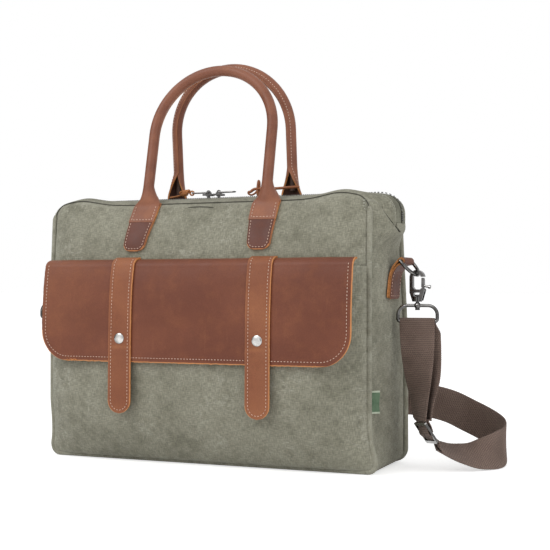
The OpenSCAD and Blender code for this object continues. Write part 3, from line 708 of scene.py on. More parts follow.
def halfWidth(z, side):
    return (side + (backHalf - side) * max(0, 1 - z / 60) ** 2
            - cornerCut(cornerRadius, z - (seamHeight - cornerRadius)))


def panelHalf(z, side):
    return halfWidth(z, side) - cornerCut(panelRadius, panelLow + panelRadius - z)


def frontY(z):
    return -bag["depth"] / 2 + 4 * smooth((z - 200) / (seamHeight - 200))


def backY(z):
    return bag["depth"] / 2 - bag["lean"] * smooth((z - 120) / (seamHeight - 120))


def full(z, middle, top, power):
    part = (z - middle) / (top - middle) if z > middle else (middle - z) / middle
    return 1 - abs(part) ** power


def panelY(u, z):
    return frontY(z) - bag["frontBulge"] * full(z, 130, seamHeight, 4.4) * (1 - abs(u) ** 9)


def pocketY(u, z):
    return (panelY(u, z) - bag["pocketCanvas"] - 0.7
            - bag["pocketGap"] * full(z, 115, 263, 2.2) * (1 - abs(u) ** 6))


def rearY(u, z):
    return backY(z) + 8 * full(z, 110, seamHeight, 3) * (1 - abs(u) ** 6)


def topLift(x, z, share=1.0):
    # The top seam sags between the handles and stands up near its corners
    rise = bag["sagMiddle"] + share * bag["liftSide"] * dent(abs(x) - bag["liftAt"],
                                                             bag["liftSpread"])
    return rise * smooth((z - 236) / (seamHeight - 236))


def turnedIn(distance, depth=1.5, reach=4.5):
    # How far cloth dips towards a seam, at a distance from it
    return depth * (1 - smooth(distance / reach))


def acrossPanel(x, z, side):
    # Place across a panel from -1 to 1, and the distance to its nearer side
    half = max(panelHalf(z, side), 1)
    return min(max(x / half, -1), 1), half - abs(x)


def frontFace(x, z):
    u, edge = acrossPanel(x, z, frontHalf)
    edge = min(edge, seamHeight - z)
    folds = 1.3 * ripple(x, z * 1.3, 70, 3.1) + 0.5 * ripple(x, z, 24, 8.4)
    y = panelY(u, z) - folds * smooth(edge / 30) * smooth((z - 215) / 12)
    return Vector((x, y + turnedIn(edge), z + topLift(x, z)))


def pocketFace(x, z):
    u, edge = acrossPanel(x, z, frontHalf)
    fall = smooth(edge / 40) * smooth((bag["pocketHeight"] - z) / 30) * smooth((z - 4) / 40)
    folds = 2.2 * ripple(x * 0.7 + z * 0.5, z - x * 0.3, 60, 5.0) + 0.7 * ripple(x, z, 22, 1.2)
    y = pocketY(u, z) - 0.4 * smooth(edge / 20) - folds * fall
    return Vector((x, y + turnedIn(min(edge, z - panelLow + 1), 1.3), z))


def backFace(x, z):
    u, edge = acrossPanel(x, z, backHalf)
    edge = min(edge, seamHeight - z)
    folds = 2.0 * ripple(x * 0.8, z, 85, 11.0) + 0.7 * ripple(x, z, 30, 4.0)
    y = rearY(u, z) + folds * smooth(edge / 35) * smooth((z - 4) / 40)
    return Vector((x, y - turnedIn(edge), z + topLift(x, z)))


canvasSetting = {"columns": 150, "rows": 120, "wearWidth": 6.0, "wearFar": 0.5,
                 "seamShadeWidth": 0.25}


def wearAndSeamShadeNear(distance, width=canvasSetting["wearWidth"]):
    # Pale along a seam from wear, and painted shade in the seam itself, where the value turns negative
    if distance < canvasSetting["seamShadeWidth"]:
        return -1.0
    return canvasSetting["wearFar"] * (1 - smooth(distance / width))


def clothPiece(name, node, columns, rows, place, thick=canvasThick, look="canvas", slot="canvas"):
    return finished(sheet(name, columns, rows, place, thick, look), "bag", slot, node)


def panelPiece(name, node, side, face, high, facing, thick=canvasThick):
    # facing is 1 for a front, whose columns run to +X, and -1 for a back
    def place(u, v):
        z = mix(panelLow, high, stretch(v))
        half = panelHalf(z, side)
        x = facing * (2 * stretch(u, 0.6) - 1) * half
        edge = min(half - abs(x), high - z, z - panelLow + 1)
        return face(x, z), (x * facing, z), wearAndSeamShadeNear(edge)

    return clothPiece(name, node, canvasSetting["columns"], canvasSetting["rows"], place, thick)


frontPanel = panelPiece("FrontPanel", "front_panel", frontHalf, frontFace, seamHeight, 1)
panelPiece("BackPanel", "back_panel", backHalf, backFace, seamHeight, -1)
panelPiece("FrontPocket", "front_pocket", frontHalf, pocketFace, bag["pocketHeight"], 1,
           bag["pocketCanvas"])
print("stage 4: panels and pocket")

# Band of canvas round the top and the sides

band = {
    "bulgeLow": 5, "bulgeHigh": 20, "bulgeFrom": 233, "bulgeOver": 28, "inset": 2.35,
    "uDrop": 44, "uPower": 1.6, "zipEdge": 0.36, "tapeGap": 0.004, "zipReach": 208,
    "topWide": 68, "sideWide": 92,
}
topHalf = frontHalf - cornerRadius
cornerArc = cornerRadius * math.pi / 2


def sideBulge(z):
    return (band["bulgeLow"] * smooth(z / 60)
            + (band["bulgeHigh"] - band["bulgeLow"])
            * smooth((z - band["bulgeFrom"]) / band["bulgeOver"]))


def station(d):
    # Place along the band: x at the front and the back, z, the outward way and the bulge
    r = cornerRadius
    turn = abs(d) - topHalf
    sign = -1 if d < 0 else 1
    if turn < 0:
        part = abs(d) / topHalf
        return (sign * part * topHalf, sign * part * (backHalf - r), seamHeight, 0, 1,
                bag["crown"])
    if turn < cornerArc:
        a = math.pi / 2 * (1 - turn / cornerArc)
        return (sign * (topHalf + r * math.cos(a)), sign * (backHalf - r + r * math.cos(a)),
                seamHeight - r + r * math.sin(a), sign * math.cos(a), math.sin(a),
                mix(band["bulgeHigh"], bag["crown"], smooth(a / (math.pi / 2))))
    z = seamHeight - r - turn + cornerArc
    low = bag["baseRadius"]
    if z < low:
        # Round the lower corner, from 0 underneath to 90 degrees at the side
        a = max(0, 90 - (low - z) / low * 90 / (math.pi / 2))
        x = low * (sind(a) - 1)
        return (sign * (mix(backHalf, halfWidth(low, frontHalf), a / 90) + x),
                sign * (backHalf + x), low * (1 - cosd(a)), sign * sind(a), -cosd(a), 0)
    return (sign * halfWidth(z, frontHalf), sign * halfWidth(z, backHalf), z, sign, 0,
            sideBulge(z))


def seamEnd(t):
    return topHalf + band["uDrop"] * (1 - (1 - 2 * min(t, 1 - t)) ** band["uPower"])


def bandPoint(d, t, h=0.0):
    # h is how far below the band's face
    xFront, xBack, z, outX, outZ, bulge = station(d)
    y = mix(frontY(z) + band["inset"], backY(z) - band["inset"], t)
    out = bulge * 4 * t * (1 - t) - h
    # The zip itself stays level, so that its sliders follow it
    x = mix(xFront, xBack, t) + outX * out
    share = smooth((abs(t - 0.5) - 0.14) / 0.2)
    return Vector((x, y, z + outZ * out + topLift(x, z, share)))


def gussetPiece(name, node, t0, t1):
    wide = band["topWide"]

    def place(u, v):
        d = 2 * stretch(u, 0.5) - 1
        t = mix(t0, t1, v)
        along = d * seamEnd(t)
        seam = min(t, 1 - t) * wide
        fold = abs(t - 0.5) * wide - 9.5
        dip = (turnedIn(seam, 1.4, 4) + turnedIn(fold, 0.5, 3)
               + turnedIn((1 - abs(d)) * 170, 1.2, 4))
        puff = 0.7 * ripple(along, t * wide, 26, 2.0) * smooth(seam / 8)
        return (bandPoint(along, t, dip - puff), (along, t * wide),
                max(wearAndSeamShadeNear(seam), wearAndSeamShadeNear(fold, 3)))

    clothPiece(name, node, 170, 16, place)


gussetPiece("GussetFront", "gusset_front", 0, band["zipEdge"])
gussetPiece("GussetBack", "gusset_back", 1 - band["zipEdge"], 1)


def sidePiece(name, node, sign):
    # Columns run from the front seam to the back seam, on the left side the other way
    wide = band["sideWide"]
    total = topHalf + cornerArc + seamHeight - cornerRadius + 7.9

    def place(u, v):
        t = stretch(u if sign > 0 else 1 - u, 0.5)
        d = mix(total, seamEnd(t) + clearance, v)
        seam = min(t, 1 - t) * wide
        top = d - seamEnd(t)
        z = station(d)[2]
        folds = (1.6 * ripple(t * 90, z, 48, 7.0 + sign) + 0.6 * ripple(t * 90, z, 20, 1.0)
                 ) * smooth(seam / 18) * smooth((z - 10) / 40)
        hollow = 2.4 * dent(z - 246, 10) * smooth((0.42 - abs(t - 0.5)) * 6)
        # The cloth lies flat behind the side tab
        flat = 1 - (smooth((28 - abs(t - 0.5) * wide) / 8) * smooth((z - 176) / 8)
                    * smooth((238 - z) / 8))
        dip = turnedIn(seam, 1.4, 4.5) + turnedIn(top, 1.0, 3.5) + hollow
        point = bandPoint(sign * d, t, dip - folds * flat)
        return point, (t * wide, z), max(wearAndSeamShadeNear(seam), wearAndSeamShadeNear(top, 4))

    return clothPiece(name, node, 60, 150, place)


sideRight = sidePiece("SidePanelRight", "side_panel_right", 1)
sideLeft = sidePiece("SidePanelLeft", "side_panel_left", -1)


def bottomPiece():
    half = backHalf - bag["baseRadius"]
    deep = bag["depth"] / 2

    def place(u, v):
        x = mix(-half, half, u)
        y = mix(canvasThick - deep, deep - canvasThick, v)
        sag = 0.9 * smooth(min(deep - abs(y), half - abs(x)) / 14)
        return (x, -y, 0.9 - sag + 0.25 * ripple(x, y, 30, 6.0) ** 2), (x, y), 0

    clothPiece("BottomPanel", "bottom_panel", 80, 24, place)


def zipEndPiece(name, node, sign):
    edge = band["zipEdge"] + band["tapeGap"]

    def place(u, v):
        t = mix(edge, 1 - edge, u if sign > 0 else 1 - u)
        d = mix(seamEnd(t), band["zipReach"] + clearance, v)
        return bandPoint(sign * d, t, 0.2), (t * band["topWide"], d), 0.2

    clothPiece(name, node, 12, 8, place, canvasThick - 0.3)


bottomPiece()
zipEndPiece("ZipEndRight", "zip_end_right", 1)
zipEndPiece("ZipEndLeft", "zip_end_left", -1)
print("stage 5: gussets, sides and base")

# Zip

zipSetting = {"pitch": 2.3, "toothLong": 2.6, "toothHigh": 1.1, "toothWide": 1.25, "edge": 2.7 / 70}


def tapePiece(name, node, t0, t1):
    def place(u, v):
        along = (2 * u - 1) * band["zipReach"]
        return (bandPoint(along, mix(t0, t1, v), 0.3 + 0.5 * abs(2 * v - 1)), (along, v * 8), 0)

    clothPiece(name, node, 200, 5, place, 0.8, "tape", "zip_tape")


tapeOuter = band["zipEdge"] + band["tapeGap"] / 2
tapePiece("ZipTapeFront", "zip_tape_front", tapeOuter, 0.5 - zipSetting["edge"] * 0.5)
tapePiece("ZipTapeBack", "zip_tape_back", 0.5 + zipSetting["edge"] * 0.5, 1 - tapeOuter)


def toothShape():
    # One metal tooth with a narrow nose
    tooth = primitive("cube", "Tooth", size=1)
    edit(tooth, (bpy.ops.mesh.bevel, {"offset": 0.16, "segments": 1}))
    points, faces = shapeOf(tooth)
    points[:, 0] *= 1 - 0.3 * (points[:, 1] > 0.2)
    return points, faces


tooth = toothShape()


def teethPiece(name, node, side):
    s = zipSetting
    places = []
    for k in range(int(2 * band["zipReach"] / s["pitch"])):
        along = -band["zipReach"] + (k + 0.5 + 0.25 * side) * s["pitch"]
        t = 0.5 + side * s["edge"] * 0.42
        ahead = (bandPoint(along + 1, t, -0.5) - bandPoint(along - 1, t, -0.5)).normalized()
        across = Vector((0, -side, 0))
        up = ahead.cross(across).normalized() * side
        places.append((bandPoint(along, t, -0.5),
                       (ahead * s["toothWide"], across * s["toothLong"], up * s["toothHigh"])))
    piece = copiesPiece(name, tooth, places, "teeth", 30)
    edit(piece, (bpy.ops.mesh.normals_make_consistent, {"inside": False}))
    finished(piece, "bag", "zip_teeth", node)


teethPiece("ZipTeethFront", "zip_teeth_front", -1)
teethPiece("ZipTeethBack", "zip_teeth_back", 1)
print("stage 6: zip")

# Piping and seam cords

pipe = {"wide": 3.0, "deep": 2.5, "top": 283, "inner": 1.0}


def pipeLine(side):
    # Centre and outward way from the middle of the base up one side
    r = bag["baseRadius"]
    out = [(x, pipeLow, 0, -1) for x in range(0, int(backHalf - r), 12)]
    for k in range(9):
        a = k * 11.25
        z = pipeLow + r * (1 - cosd(a))
        out.append((halfWidth(z, side) + pipeOut - r * (1 - sind(a)), z, sind(a), -cosd(a)))
    z = pipeLow + r + 5
    while z < pipe["top"]:
        out.append((halfWidth(z, side) + pipeOut - 0.4 * smooth((z - 270) / 12), z, 1, 0))
        z += 5
    return out


def pipingPiece(name, node, side, yAt, facing):
    half = pipeLine(side)
    line = np.array([(-p[0], p[1], -p[2], p[3]) for p in reversed(half[1:])] + half, float)
    total = len(line) - 1

    def place(u, v):
        k = v * total
        x, z, outX, outZ = onLine(line, k)[0]
        a = 2 * math.pi * u
        r = math.sqrt(min(1, 0.2 + min(k, total - k) * 0.8))
        y = yAt(z) - facing * 0.2 + pipe["deep"] * r * math.sin(a)
        out = pipe["wide"] * r * math.cos(a) - pipe["inner"]
        # Painted shade on the pipe's inner side, where it meets the panels: its value turns negative;
        # elsewhere the welt is pale from wear
        inside = smooth((-math.cos(a) - 0.80) / 0.15)
        return ((x + outX * out, y, z + outZ * out), (u * 18, k * 5), mix(0.5, -1.0, inside))

    finished(closedPiece(name, 20, total * 2, place, "canvas"), "bag", "piping", node)


pipingPiece("PipingFront", "piping_front", frontHalf, frontY, -1)
pipingPiece("PipingBack", "piping_back", backHalf, backY, 1)


def seamShadeCord(name, face, side, facing):
    # Painted shade: a dark canvas cord laid where a panel meets the band over the top and round both
    # shoulders
    r = cornerRadius
    row = (arc(r - side, seamHeight - r, r, range(180, 89, -10))
           + [(x, seamHeight) for x in spread(r - side, side - r, 90)[1:-1]]
           + arc(side - r, seamHeight - r, r, range(90, -1, -10)))
    line = [face(x, z) + Vector((0, -facing * 0.35, 0.2)) for x, z in row]
    finished(tubePiece(name, curveThrough(line, 3), 0.55, "canvasSeam"), "bag", "canvas")


def pleatPiece():
    # A raised pleat at the top seam; its dark canvas is painted shadow under the lip
    line = []
    for k in range(17):
        point = frontFace(mix(-23, 11, k / 16), 287.4 - 1.2 * (k / 16 - 0.4) ** 2 * 4)
        line.append(point + Vector((0, 0.05 + 0.9 * (k / 8 - 1) ** 4, 0)))
    pleat = tubePiece("SeamPleat", curveThrough(line, 3), 0.8, "canvasSeam", gap=1.5)
    finished(pleat, "bag", "canvas")


seamShadeCord("SeamFrontTop", frontFace, frontHalf, 1)
seamShadeCord("SeamBackTop", backFace, backHalf, -1)
pleatPiece()

# The left side of this filled bag stands out more than the right
stand = {"wide": 9.0, "from": 95.0, "over": 90.0, "low": 70.0, "back": 0.2}

for piece in bpy.data.objects:
    if piece.type == "MESH" and piece.name not in nodes:
        for vertex in piece.data.vertices:
            x, y, z = vertex.co / mm
            vertex.co.x -= (stand["wide"] * smooth((-x - stand["from"]) / stand["over"])
                            * smooth(z / stand["low"])
                            * mix(1, stand["back"], smooth((y + 42) / 30))) * mm
print("stage 7: piping and seams")

# Flap

flap = {
    "width": 368, "low": 114, "corner": 34, "thick": 2.2, "stand": 1.4,
    "hinge": (-74.221, 226), "rollZ": 218, "roll": 12, "stitchIn": 5.0, "ragged": 0.55,
}
hingeY, hingeZ = flap["hinge"]
rollZ = flap["rollZ"]
rollTop = rollZ + flap["roll"]


def flapOut(z):
    return pocketY(0, min(z, bag["pocketHeight"])) - flap["stand"] - 1.8 - flap["thick"]


def flapLine(z, off):
    # Y and Z of the flap's outer face, off further out: flat low down, round over the hem
    if z <= rollZ:
        return flapOut(z) - off, z
    a = min((z - rollZ) / flap["roll"], 1) * math.pi / 2
    return (mix(hingeY, flapOut(rollZ) - off, math.cos(a)),
            mix(rollZ, hingeZ + flap["thick"] / 2 + off, math.sin(a)))


def flapFolds(x, z):
    return (1.1 * ripple(x, z, 95, 21.0) + 0.35 * ripple(x, z, 32, 5.0)) * smooth((rollZ - z) / 40)


def rollWave(x):
    return 0.7 * ripple(x, 0, 60, 14.0)


def flapFace(x, z):
    y, height = flapLine(z, 0.0)
    return Vector((x, y - flapFolds(x, z), height + rollWave(x) * smooth((z - rollZ) / 10)))


def outlineWay(x, z, low, half, r):
    # Outward way in the flap's plane at its outline
    inX = half - r
    inZ = low + r
    if abs(x) > inX and z < inZ:
        return Vector((math.copysign(abs(x) - inX, x), 0, z - inZ)).normalized()
    if z - low < half - abs(x):
        return Vector((0, 0, -1))
    return Vector((math.copysign(1, x), 0, 0))


def turned(piece, *replaced):
    # What is sewn on the flap: the CAD nodes it replaces are hidden and its place is baked into its
    # mesh
    if replaced:
        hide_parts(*replaced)
    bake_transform(piece)


def flapPiece():
    low = flap["low"]
    corner = flap["corner"]
    wide = flap["width"] / 2

    def place(u, v):
        z = mix(low, rollTop, stretch(v, 0.5))
        half = roundedRow(z, low, wide, corner)
        x = (2 * stretch(u, 0.4) - 1) * half
        edge = min(half - abs(x), z - low)
        # The lower edge is torn, less so round its corners
        tear = noise.noise(Vector((x / 2.2, z / 2.2, 7.7))) + 0.7 * noise.noise(
            Vector((x / 6, z / 6, 1)))
        tear *= flap["ragged"] * mix(0.45, 1.0, smooth((low + corner - z) / 20))
        if abs(x) > wide - corner and z < low + corner:
            tear *= 0.3
        tear *= (1 - smooth(edge / 2.0)) * smooth((rollZ - z) / 6)
        point = flapFace(x, z) + outlineWay(x, z, low, wide, corner) * tear
        point.y += 0.5 * (1 - smooth(edge / 2.0))
        # Paler at the lower edge and over the roll from wear, and towards the upper left as a painted
        # sheen
        wear = max(0.75 * (1 - smooth(edge / 2.2)), 0.65 * smooth((z - rollZ - 8) / 4),
                   0.35 * smooth((-x - 95) / 80) * smooth((z - 120) / 50))
        if z - low < 1.0 or half - x < 1.0 or (z < low + corner and edge < 1):
            wear = 1.3
        return point, (x, z), wear

    return sheet("FlapLeather", 260, 70, place, flap["thick"], "leather", "rawEdge", edge=0.5)


def flapStitches():
    row = hemRow(flap["width"] / 2 - flap["stitchIn"], flap["low"] + flap["stitchIn"],
                 flap["corner"] - flap["stitchIn"], rollZ + 3, 40, 120)
    return [flapFace(x, z) for x, z in row], [(0, -1, 0)] * len(row)


flapLeather = flapPiece()
print("stage 8: flap")

# Closure straps

closure = {"half": 14, "gap": 164, "low": 58, "thick": 2.6, "play": 0.1, "snap": 140,
           "stitchIn": 3.6, "creaseBelow": 9.5}


def closureFace(x, z):
    # Outer face of a closure strap; below the flap it hangs straight
    out = closure["play"] + closure["thick"]
    low = flap["low"] + 2
    if z < low:
        return Vector((x, flapOut(low) - out - flapFolds(x, low) - 0.01 * (low - z), z))
    if z <= rollZ:
        return Vector((x, flapOut(z) - out - flapFolds(x, z), z))
    a = smooth(min((z - rollZ) / flap["roll"], 1))
    y, height = flapLine(z, closure["play"] + closure["thick"] * (1 - 0.25 * a))
    return Vector((x, y, height + rollWave(x) * a))


def closurePiece(name, node, middle):
    s = closure

    def place(u, v):
        z = mix(s["low"], rollTop, stretch(v, 0.3))
        half = max(roundedRow(z, s["low"], s["half"], s["half"]), 0.4)
        q = 2 * stretch(u, 0.6) - 1
        x = q * half
        point = closureFace(middle + x, z)
        edge = min(half - abs(x), z - s["low"])
        aboveCrease = z - s["snap"] + s["creaseBelow"]
        point.y += (0.35 * dent(edge - s["stitchIn"], 0.8) + 0.5 * dent(aboveCrease, 1.3)
                    + 0.5 * (1 - smooth(edge / 1.6)))
        point.x += 0.25 * noise.noise(Vector((z / 2.5, middle, 1.0))) * abs(q) ** 4
        wear = max(0.8 * (1 - smooth(edge / 1.4)), 0.5 * smooth((z - rollZ) / 12),
                   0.5 * dent(aboveCrease, 1.6), 0.45 * (1 - smooth((z - s["low"]) / 16)))
        if edge < 0.9 and (x > 0 or z < s["low"] + 14):
            wear = 1.3
        return point, (x, z), wear

    piece = sheet(name, 24, 110, place, s["thick"], "leatherBright", "rawEdge", edge=0.55)
    turned(piece, node)


def closureStitches(middle):
    r = closure["half"] - closure["stitchIn"]
    row = hemRow(r, closure["low"] + closure["stitchIn"], r, rollZ + 7, 90, step=9)
    return ([closureFace(middle + x, z) + Vector((0, 0.3, 0)) for x, z in row],
            [(0, -1, 0.9 * smooth((z - rollZ) / 12)) for _, z in row])


middles = (-closure["gap"] / 2, closure["gap"] / 2)
closurePiece("ClosureStrapLeft", "closure_strap_left", middles[0])
closurePiece("ClosureStrapRight", "closure_strap_right", middles[1])
turned(stitches("FlapStitching", [flapStitches()] + [closureStitches(m) for m in middles]))
turned(flapLeather, "flap")
print("stage 9: closure straps")

# Handles

handle = {
    "gap": 146, "roll": 6.0, "thick": 1.9, "footHalf": 15.9, "rollHalf": 18.85, "step": 2.2,
    "low": 271, "high": 289, "hingeZ": 293.5, "hingeOut": 4.5,
    "opensFrom": -5.0, "opensOver": (24.0, 46.0), "lap": 0.13, "lapHigh": 1.7,
    "rise": (153, 158), "lean": (13.0, 5.5), "leftLean": 5.0,
    "tabLow": 236, "tabHalf": 15.9, "tabLowHalf": 13.6, "tabThick": 2.0, "tabCorner": 9,
    "patchThick": 1.5, "stitchIn": 3.0,
}


def tabHalf(z, inset=0.0):
    s = handle
    half = mix(s["tabLowHalf"], s["tabHalf"], smooth((z - s["tabLow"]) / 50)) - inset
    return roundedRow(z, s["tabLow"] + inset, half, s["tabCorner"] - inset)


def sewnPoint(facing, x, z, off):
    # Point off the front or back face, on its outside; the left front tab leans
    if facing > 0 and x < 0:
        x -= handle["leftLean"] * smooth((handle["low"] + 14 - z) / 50)
    zFace = min(z, seamHeight - 0.5)
    p = frontFace(x, zFace) if facing > 0 else backFace(x, zFace)
    return Vector((x, p.y - facing * off, p.z + z - zFace))


def tabLayers(name, facing, low, high, inset, off, thick, look):
    def layer(middle):
        def place(u, v):
            z = mix(low, high, stretch(v, 0.4))
            half = max(tabHalf(z, inset), 0.5)
            q = 2 * stretch(u, 0.5) - 1
            x = q * half
            edge = min(half - abs(x), z - low)
            point = sewnPoint(facing, middle + x * facing, z, off)
            point.y += facing * 0.45 * (1 - smooth(edge / 1.5))
            point.x += 0.2 * noise.noise(Vector((z / 2.5, middle + inset, facing))) * abs(q) ** 4
            cut = edge < 0.8 and (x * facing > 0 or z < low + 9)
            return point, (x, z), 1.3 if cut else 0.8 * (1 - smooth(edge / 1.2))

        return sheet(name, 18, 36, place, thick, look, "rawEdge", edge=0.5)

    return join(name, [layer(sign * handle["gap"] / 2) for sign in (-1, 1)])


def handlePath(rise):
    # Stations (x, z, outward x, outward z) from the left foot over the top to the right foot
    half = handle["gap"] / 2
    leg = rise - half
    up = spread(handle["low"] - handle["hingeZ"], leg, 30)[:-1]
    arch = [(half * cosd(a), leg + half * sind(a), cosd(a), sind(a)) for a in range(180, -1, -4)]
    return evenly([(-half, z, -1, 0) for z in up] + arch
                  + [(half, z, 1, 0) for z in reversed(up)], handle["step"])


def handleShape(facing, rise, lean, hinge):
    # A strip of leather, flat at its feet and rolled above them: at(v, q) is its outer face,
    # with q from -1 at its inner edge to 1 at the edge that laps over
    s = handle
    turn = Matrix.Rotation(math.radians(-facing * lean), 3, "X")
    origin = Vector((0, hinge, s["hingeZ"]))
    line = handlePath(rise)
    total = len(line) - 1

    def at(v, q):
        x, z, outX, outZ = onLine(line, min(max(v, 0), 1) * total)[0]
        size = math.hypot(outX, outZ)
        outX, outZ = outX / size, outZ / size
        opens = s["opensOver"][0 if facing > 0 else 1]
        rolled = min(max((z - s["opensFrom"]) / opens, 0), 1) ** 0.9
        phi = mix(0.3, math.pi, rolled)
        radius = mix(s["footHalf"], s["rollHalf"], rolled) / phi
        theta = phi * q * (1 + s["lap"] * rolled * (q > 0))
        face = radius + s["lapHigh"] * smooth((q - 0.72) / 0.16) * rolled
        side = face * math.sin(theta)
        y = facing * (radius - mix(s["thick"] + 0.4, s["roll"], rolled) - face * math.cos(theta))
        point = origin + turn @ Vector((x + outX * side, y, z + outZ * side))
        if z < 0:
            flat = sewnPoint(facing, x + outX * side, s["hingeZ"] + z,
                             s["tabThick"] + 0.4 + s["thick"])
            point = flat.lerp(point, smooth((z + 8) / 8))
        way = turn @ Vector((outX * math.sin(theta), -facing * math.cos(theta),
                             outZ * math.sin(theta)))
        return point, way, rolled

    return at, total


def handlePiece(name, facing, at, total):
    s = handle

    def place(u, v):
        q = (1 - 2 * u) * facing
        point, _, rolled = at(v, q)
        edge = (1 - abs(q)) * s["footHalf"]
        wear = max(0.7 * (1 - smooth(edge / 1.2)), 0.25 * (1 - rolled),
                   0.25 * smooth(ripple(v * 400, q * 9, 40, 3.0) * 2))
        return point, (q * 18, v * total * s["step"]), wear

    # The inside face gets the darkened leather, painted shade inside the roll
    return sheet(name, 48, total, place, s["thick"], "leatherRoll", "rawEdge", "leatherDark",
                 angle=50)


def footStitches(facing, sign, at, total):
    # Up both sides of the foot and the tab, round the tab's end, and across the foot
    s = handle
    inset = s["stitchIn"]
    r = s["tabCorner"] - inset
    base = s["tabLow"] + inset
    corner = s["tabLowHalf"] - inset - r
    down = spread(s["low"] - 1, base + r, 20)
    row = [(-tabHalf(z, inset), z) for z in down]
    row += arc(-corner, base + r, r, range(190, 271, 10))
    row += arc(corner, base + r, r, range(270, 351, 10))
    row += [(tabHalf(z, inset), z) for z in down[::-1]]
    out = Vector((0, -facing, 0))
    rows = [[sewnPoint(facing, sign * s["gap"] / 2 + x, z, s["tabThick"] + 0.4 + s["patchThick"])
             for x, z in row]]
    long = total * s["step"]
    lines = [[(v, q) for v in spread(0.003, (s["high"] - s["low"]) / long, 12)]
             for q in (-0.8, 0.8)]
    lines.append([(2.5 / long, q) for q in spread(-0.74, 0.74, 8)])
    rows += [[at(v if sign < 0 else 1 - v, q)[0] for v, q in line] for line in lines]
    return [(points, [out] * len(points)) for points in rows]


def wholeHandle(side, facing):
    s = handle
    body = "handle_" + side.lower()
    lean = s["lean"][facing < 0]
    hinge = (frontY if facing > 0 else backY)(seamHeight) - facing * s["hingeOut"]
    tabs = tabLayers("HandleTabs" + side, facing, s["tabLow"], seamHeight + 1.5, 0,
                     s["tabThick"] + 0.25, s["tabThick"] - 0.1, "leatherRoll")
    finished(tabs, "bag", "leather", "handle_tabs_" + side.lower())
    patches = tabLayers("TabPatches" + side, facing, s["tabLow"] + 0.5, s["low"] - 0.2, 0.5,
                        s["tabThick"] + 0.4 + s["patchThick"], s["patchThick"], "leatherPatch")
    finished(patches, "bag", "dark_leather", "tab_patches_" + side.lower())
    at, total = handleShape(facing, s["rise"][facing < 0], lean, hinge)
    grip = handlePiece("Handle" + side, facing, at, total)
    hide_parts("grip_" + side.lower())
    rows = footStitches(facing, -1, at, total) + footStitches(facing, 1, at, total)
    finished(stitches("TabStitching" + side, rows), "bag", "leather")
    lap = [at(v, 0.80) for v in spread(0.105, 0.895, 300)]
    seam = stitches("GripStitching" + side, [([p[0] for p in lap], [p[1] for p in lap])],
                    length=2.0, gap=1.4)
    finished(seam, body, "leather")
    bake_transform(grip)


wholeHandle("Front", 1)
wholeHandle("Back", -1)
print("stage 10: handles")

# Side tabs

sideTab = {
    "face": (200, 5), "turn": 5.7, "half": 14.6, "thick": 2.1, "barOut": 14.5, "barZ": 224,
    "round": 3.3, "low": 183.5, "stitchIn": 3.2, "lean": 0.24, "leftOut": 2.0, "step": 1.2,
}


def atSide(out, across, z):
    # From the side tab's own frame to the bag's
    a = -sideTab["turn"]
    return Vector((sideTab["face"][0] + out * cosd(a) - across * sind(a),
                   sideTab["face"][1] + out * sind(a) + across * cosd(a), z))


def leaning(z):
    return sideTab["lean"] * max(0, sideTab["barZ"] - 8 - z)


def sideTabPiece(name, node, sign):
    s = sideTab
    low = s["low"]
    path = [(3.6, low), (3.6, 192), (3.7, 202), (4.4, 210), (7.0, 215.6), (10.6, 219.6)]
    path += arc(s["barOut"], s["barZ"], s["round"], range(-100, 141, 20))
    path += [(8.6, 222.6), (5.2, 218.4), (2.6, 212.4), (1.5, 205), (1.35, 196), (1.35, low + 0.6)]
    line = evenly(curveThrough(path, 8), s["step"])
    total = len(line) - 1
    length = total * s["step"]
    further = s["leftOut"] if sign < 0 else 0

    def place(u, v):
        (out, z), ahead = onLine(line, v * total)
        ahead = ahead / np.linalg.norm(ahead)
        q = 2 * stretch(u, 0.4) - 1
        edge = (1 - abs(q)) * s["half"]
        end = v * length
        half = s["half"] - cornerCut(4, 4 - min(end, length - end))
        groove = 0.3 * dent(edge - s["stitchIn"], 0.8) * (end < 30)
        lift = s["thick"] / 2 - groove - 0.4 * (1 - smooth(edge / 1.4))
        out += further * smooth((214 - z) / 8)
        point = atSide(out + ahead[1] * lift, q * half - leaning(z), z - ahead[0] * lift)
        point.x *= sign
        return point, (q * s["half"], end), 0.85 * (1 - smooth(edge / 1.6))

    piece = sheet(name, 16, total, place, s["thick"], "leatherSide", "rawEdge", edge=0.4,
                  flip=sign < 0)
    row = hemRow(s["half"] - s["stitchIn"], low + s["stitchIn"], 0, 213, 12, 10, 90)
    points = [atSide(4.6 + 1.5 * smooth((z - 204) / 9) + further, y - leaning(z), z)
              for y, z in row]
    way = atSide(1, 0, 0) - atSide(0, 0, 0)
    for p in points + [way]:
        p.x *= sign
    thread = stitches(name + "Stitching", [(points, [way] * len(points))], thick=0.7)
    finished(thread, "bag", "leather")
    finished(piece, "bag", "leather", node)


sideTabPiece("SideTabRight", "side_tab_right", 1)
sideTabPiece("SideTabLeft", "side_tab_left", -1)
print("stage 11: side tabs")

# Webbing

webbing = {
    "wide": 38, "thick": 1.8, "rib": 2.0, "ribHigh": 0.3, "step": 0.5, "wire": 1.9,
    "loopLow": 159.306, "turnRight": 4, "twist": 60, "shift": 5, "stemOut": 27.621,
    "slack": 5, "split": (127, 95), "dropEnd": 54.5, "glideTop": 44,
    "glide": (237, 1, 40.5), "glideTurn": (32, -8, -57), "joint": 0.04,
}

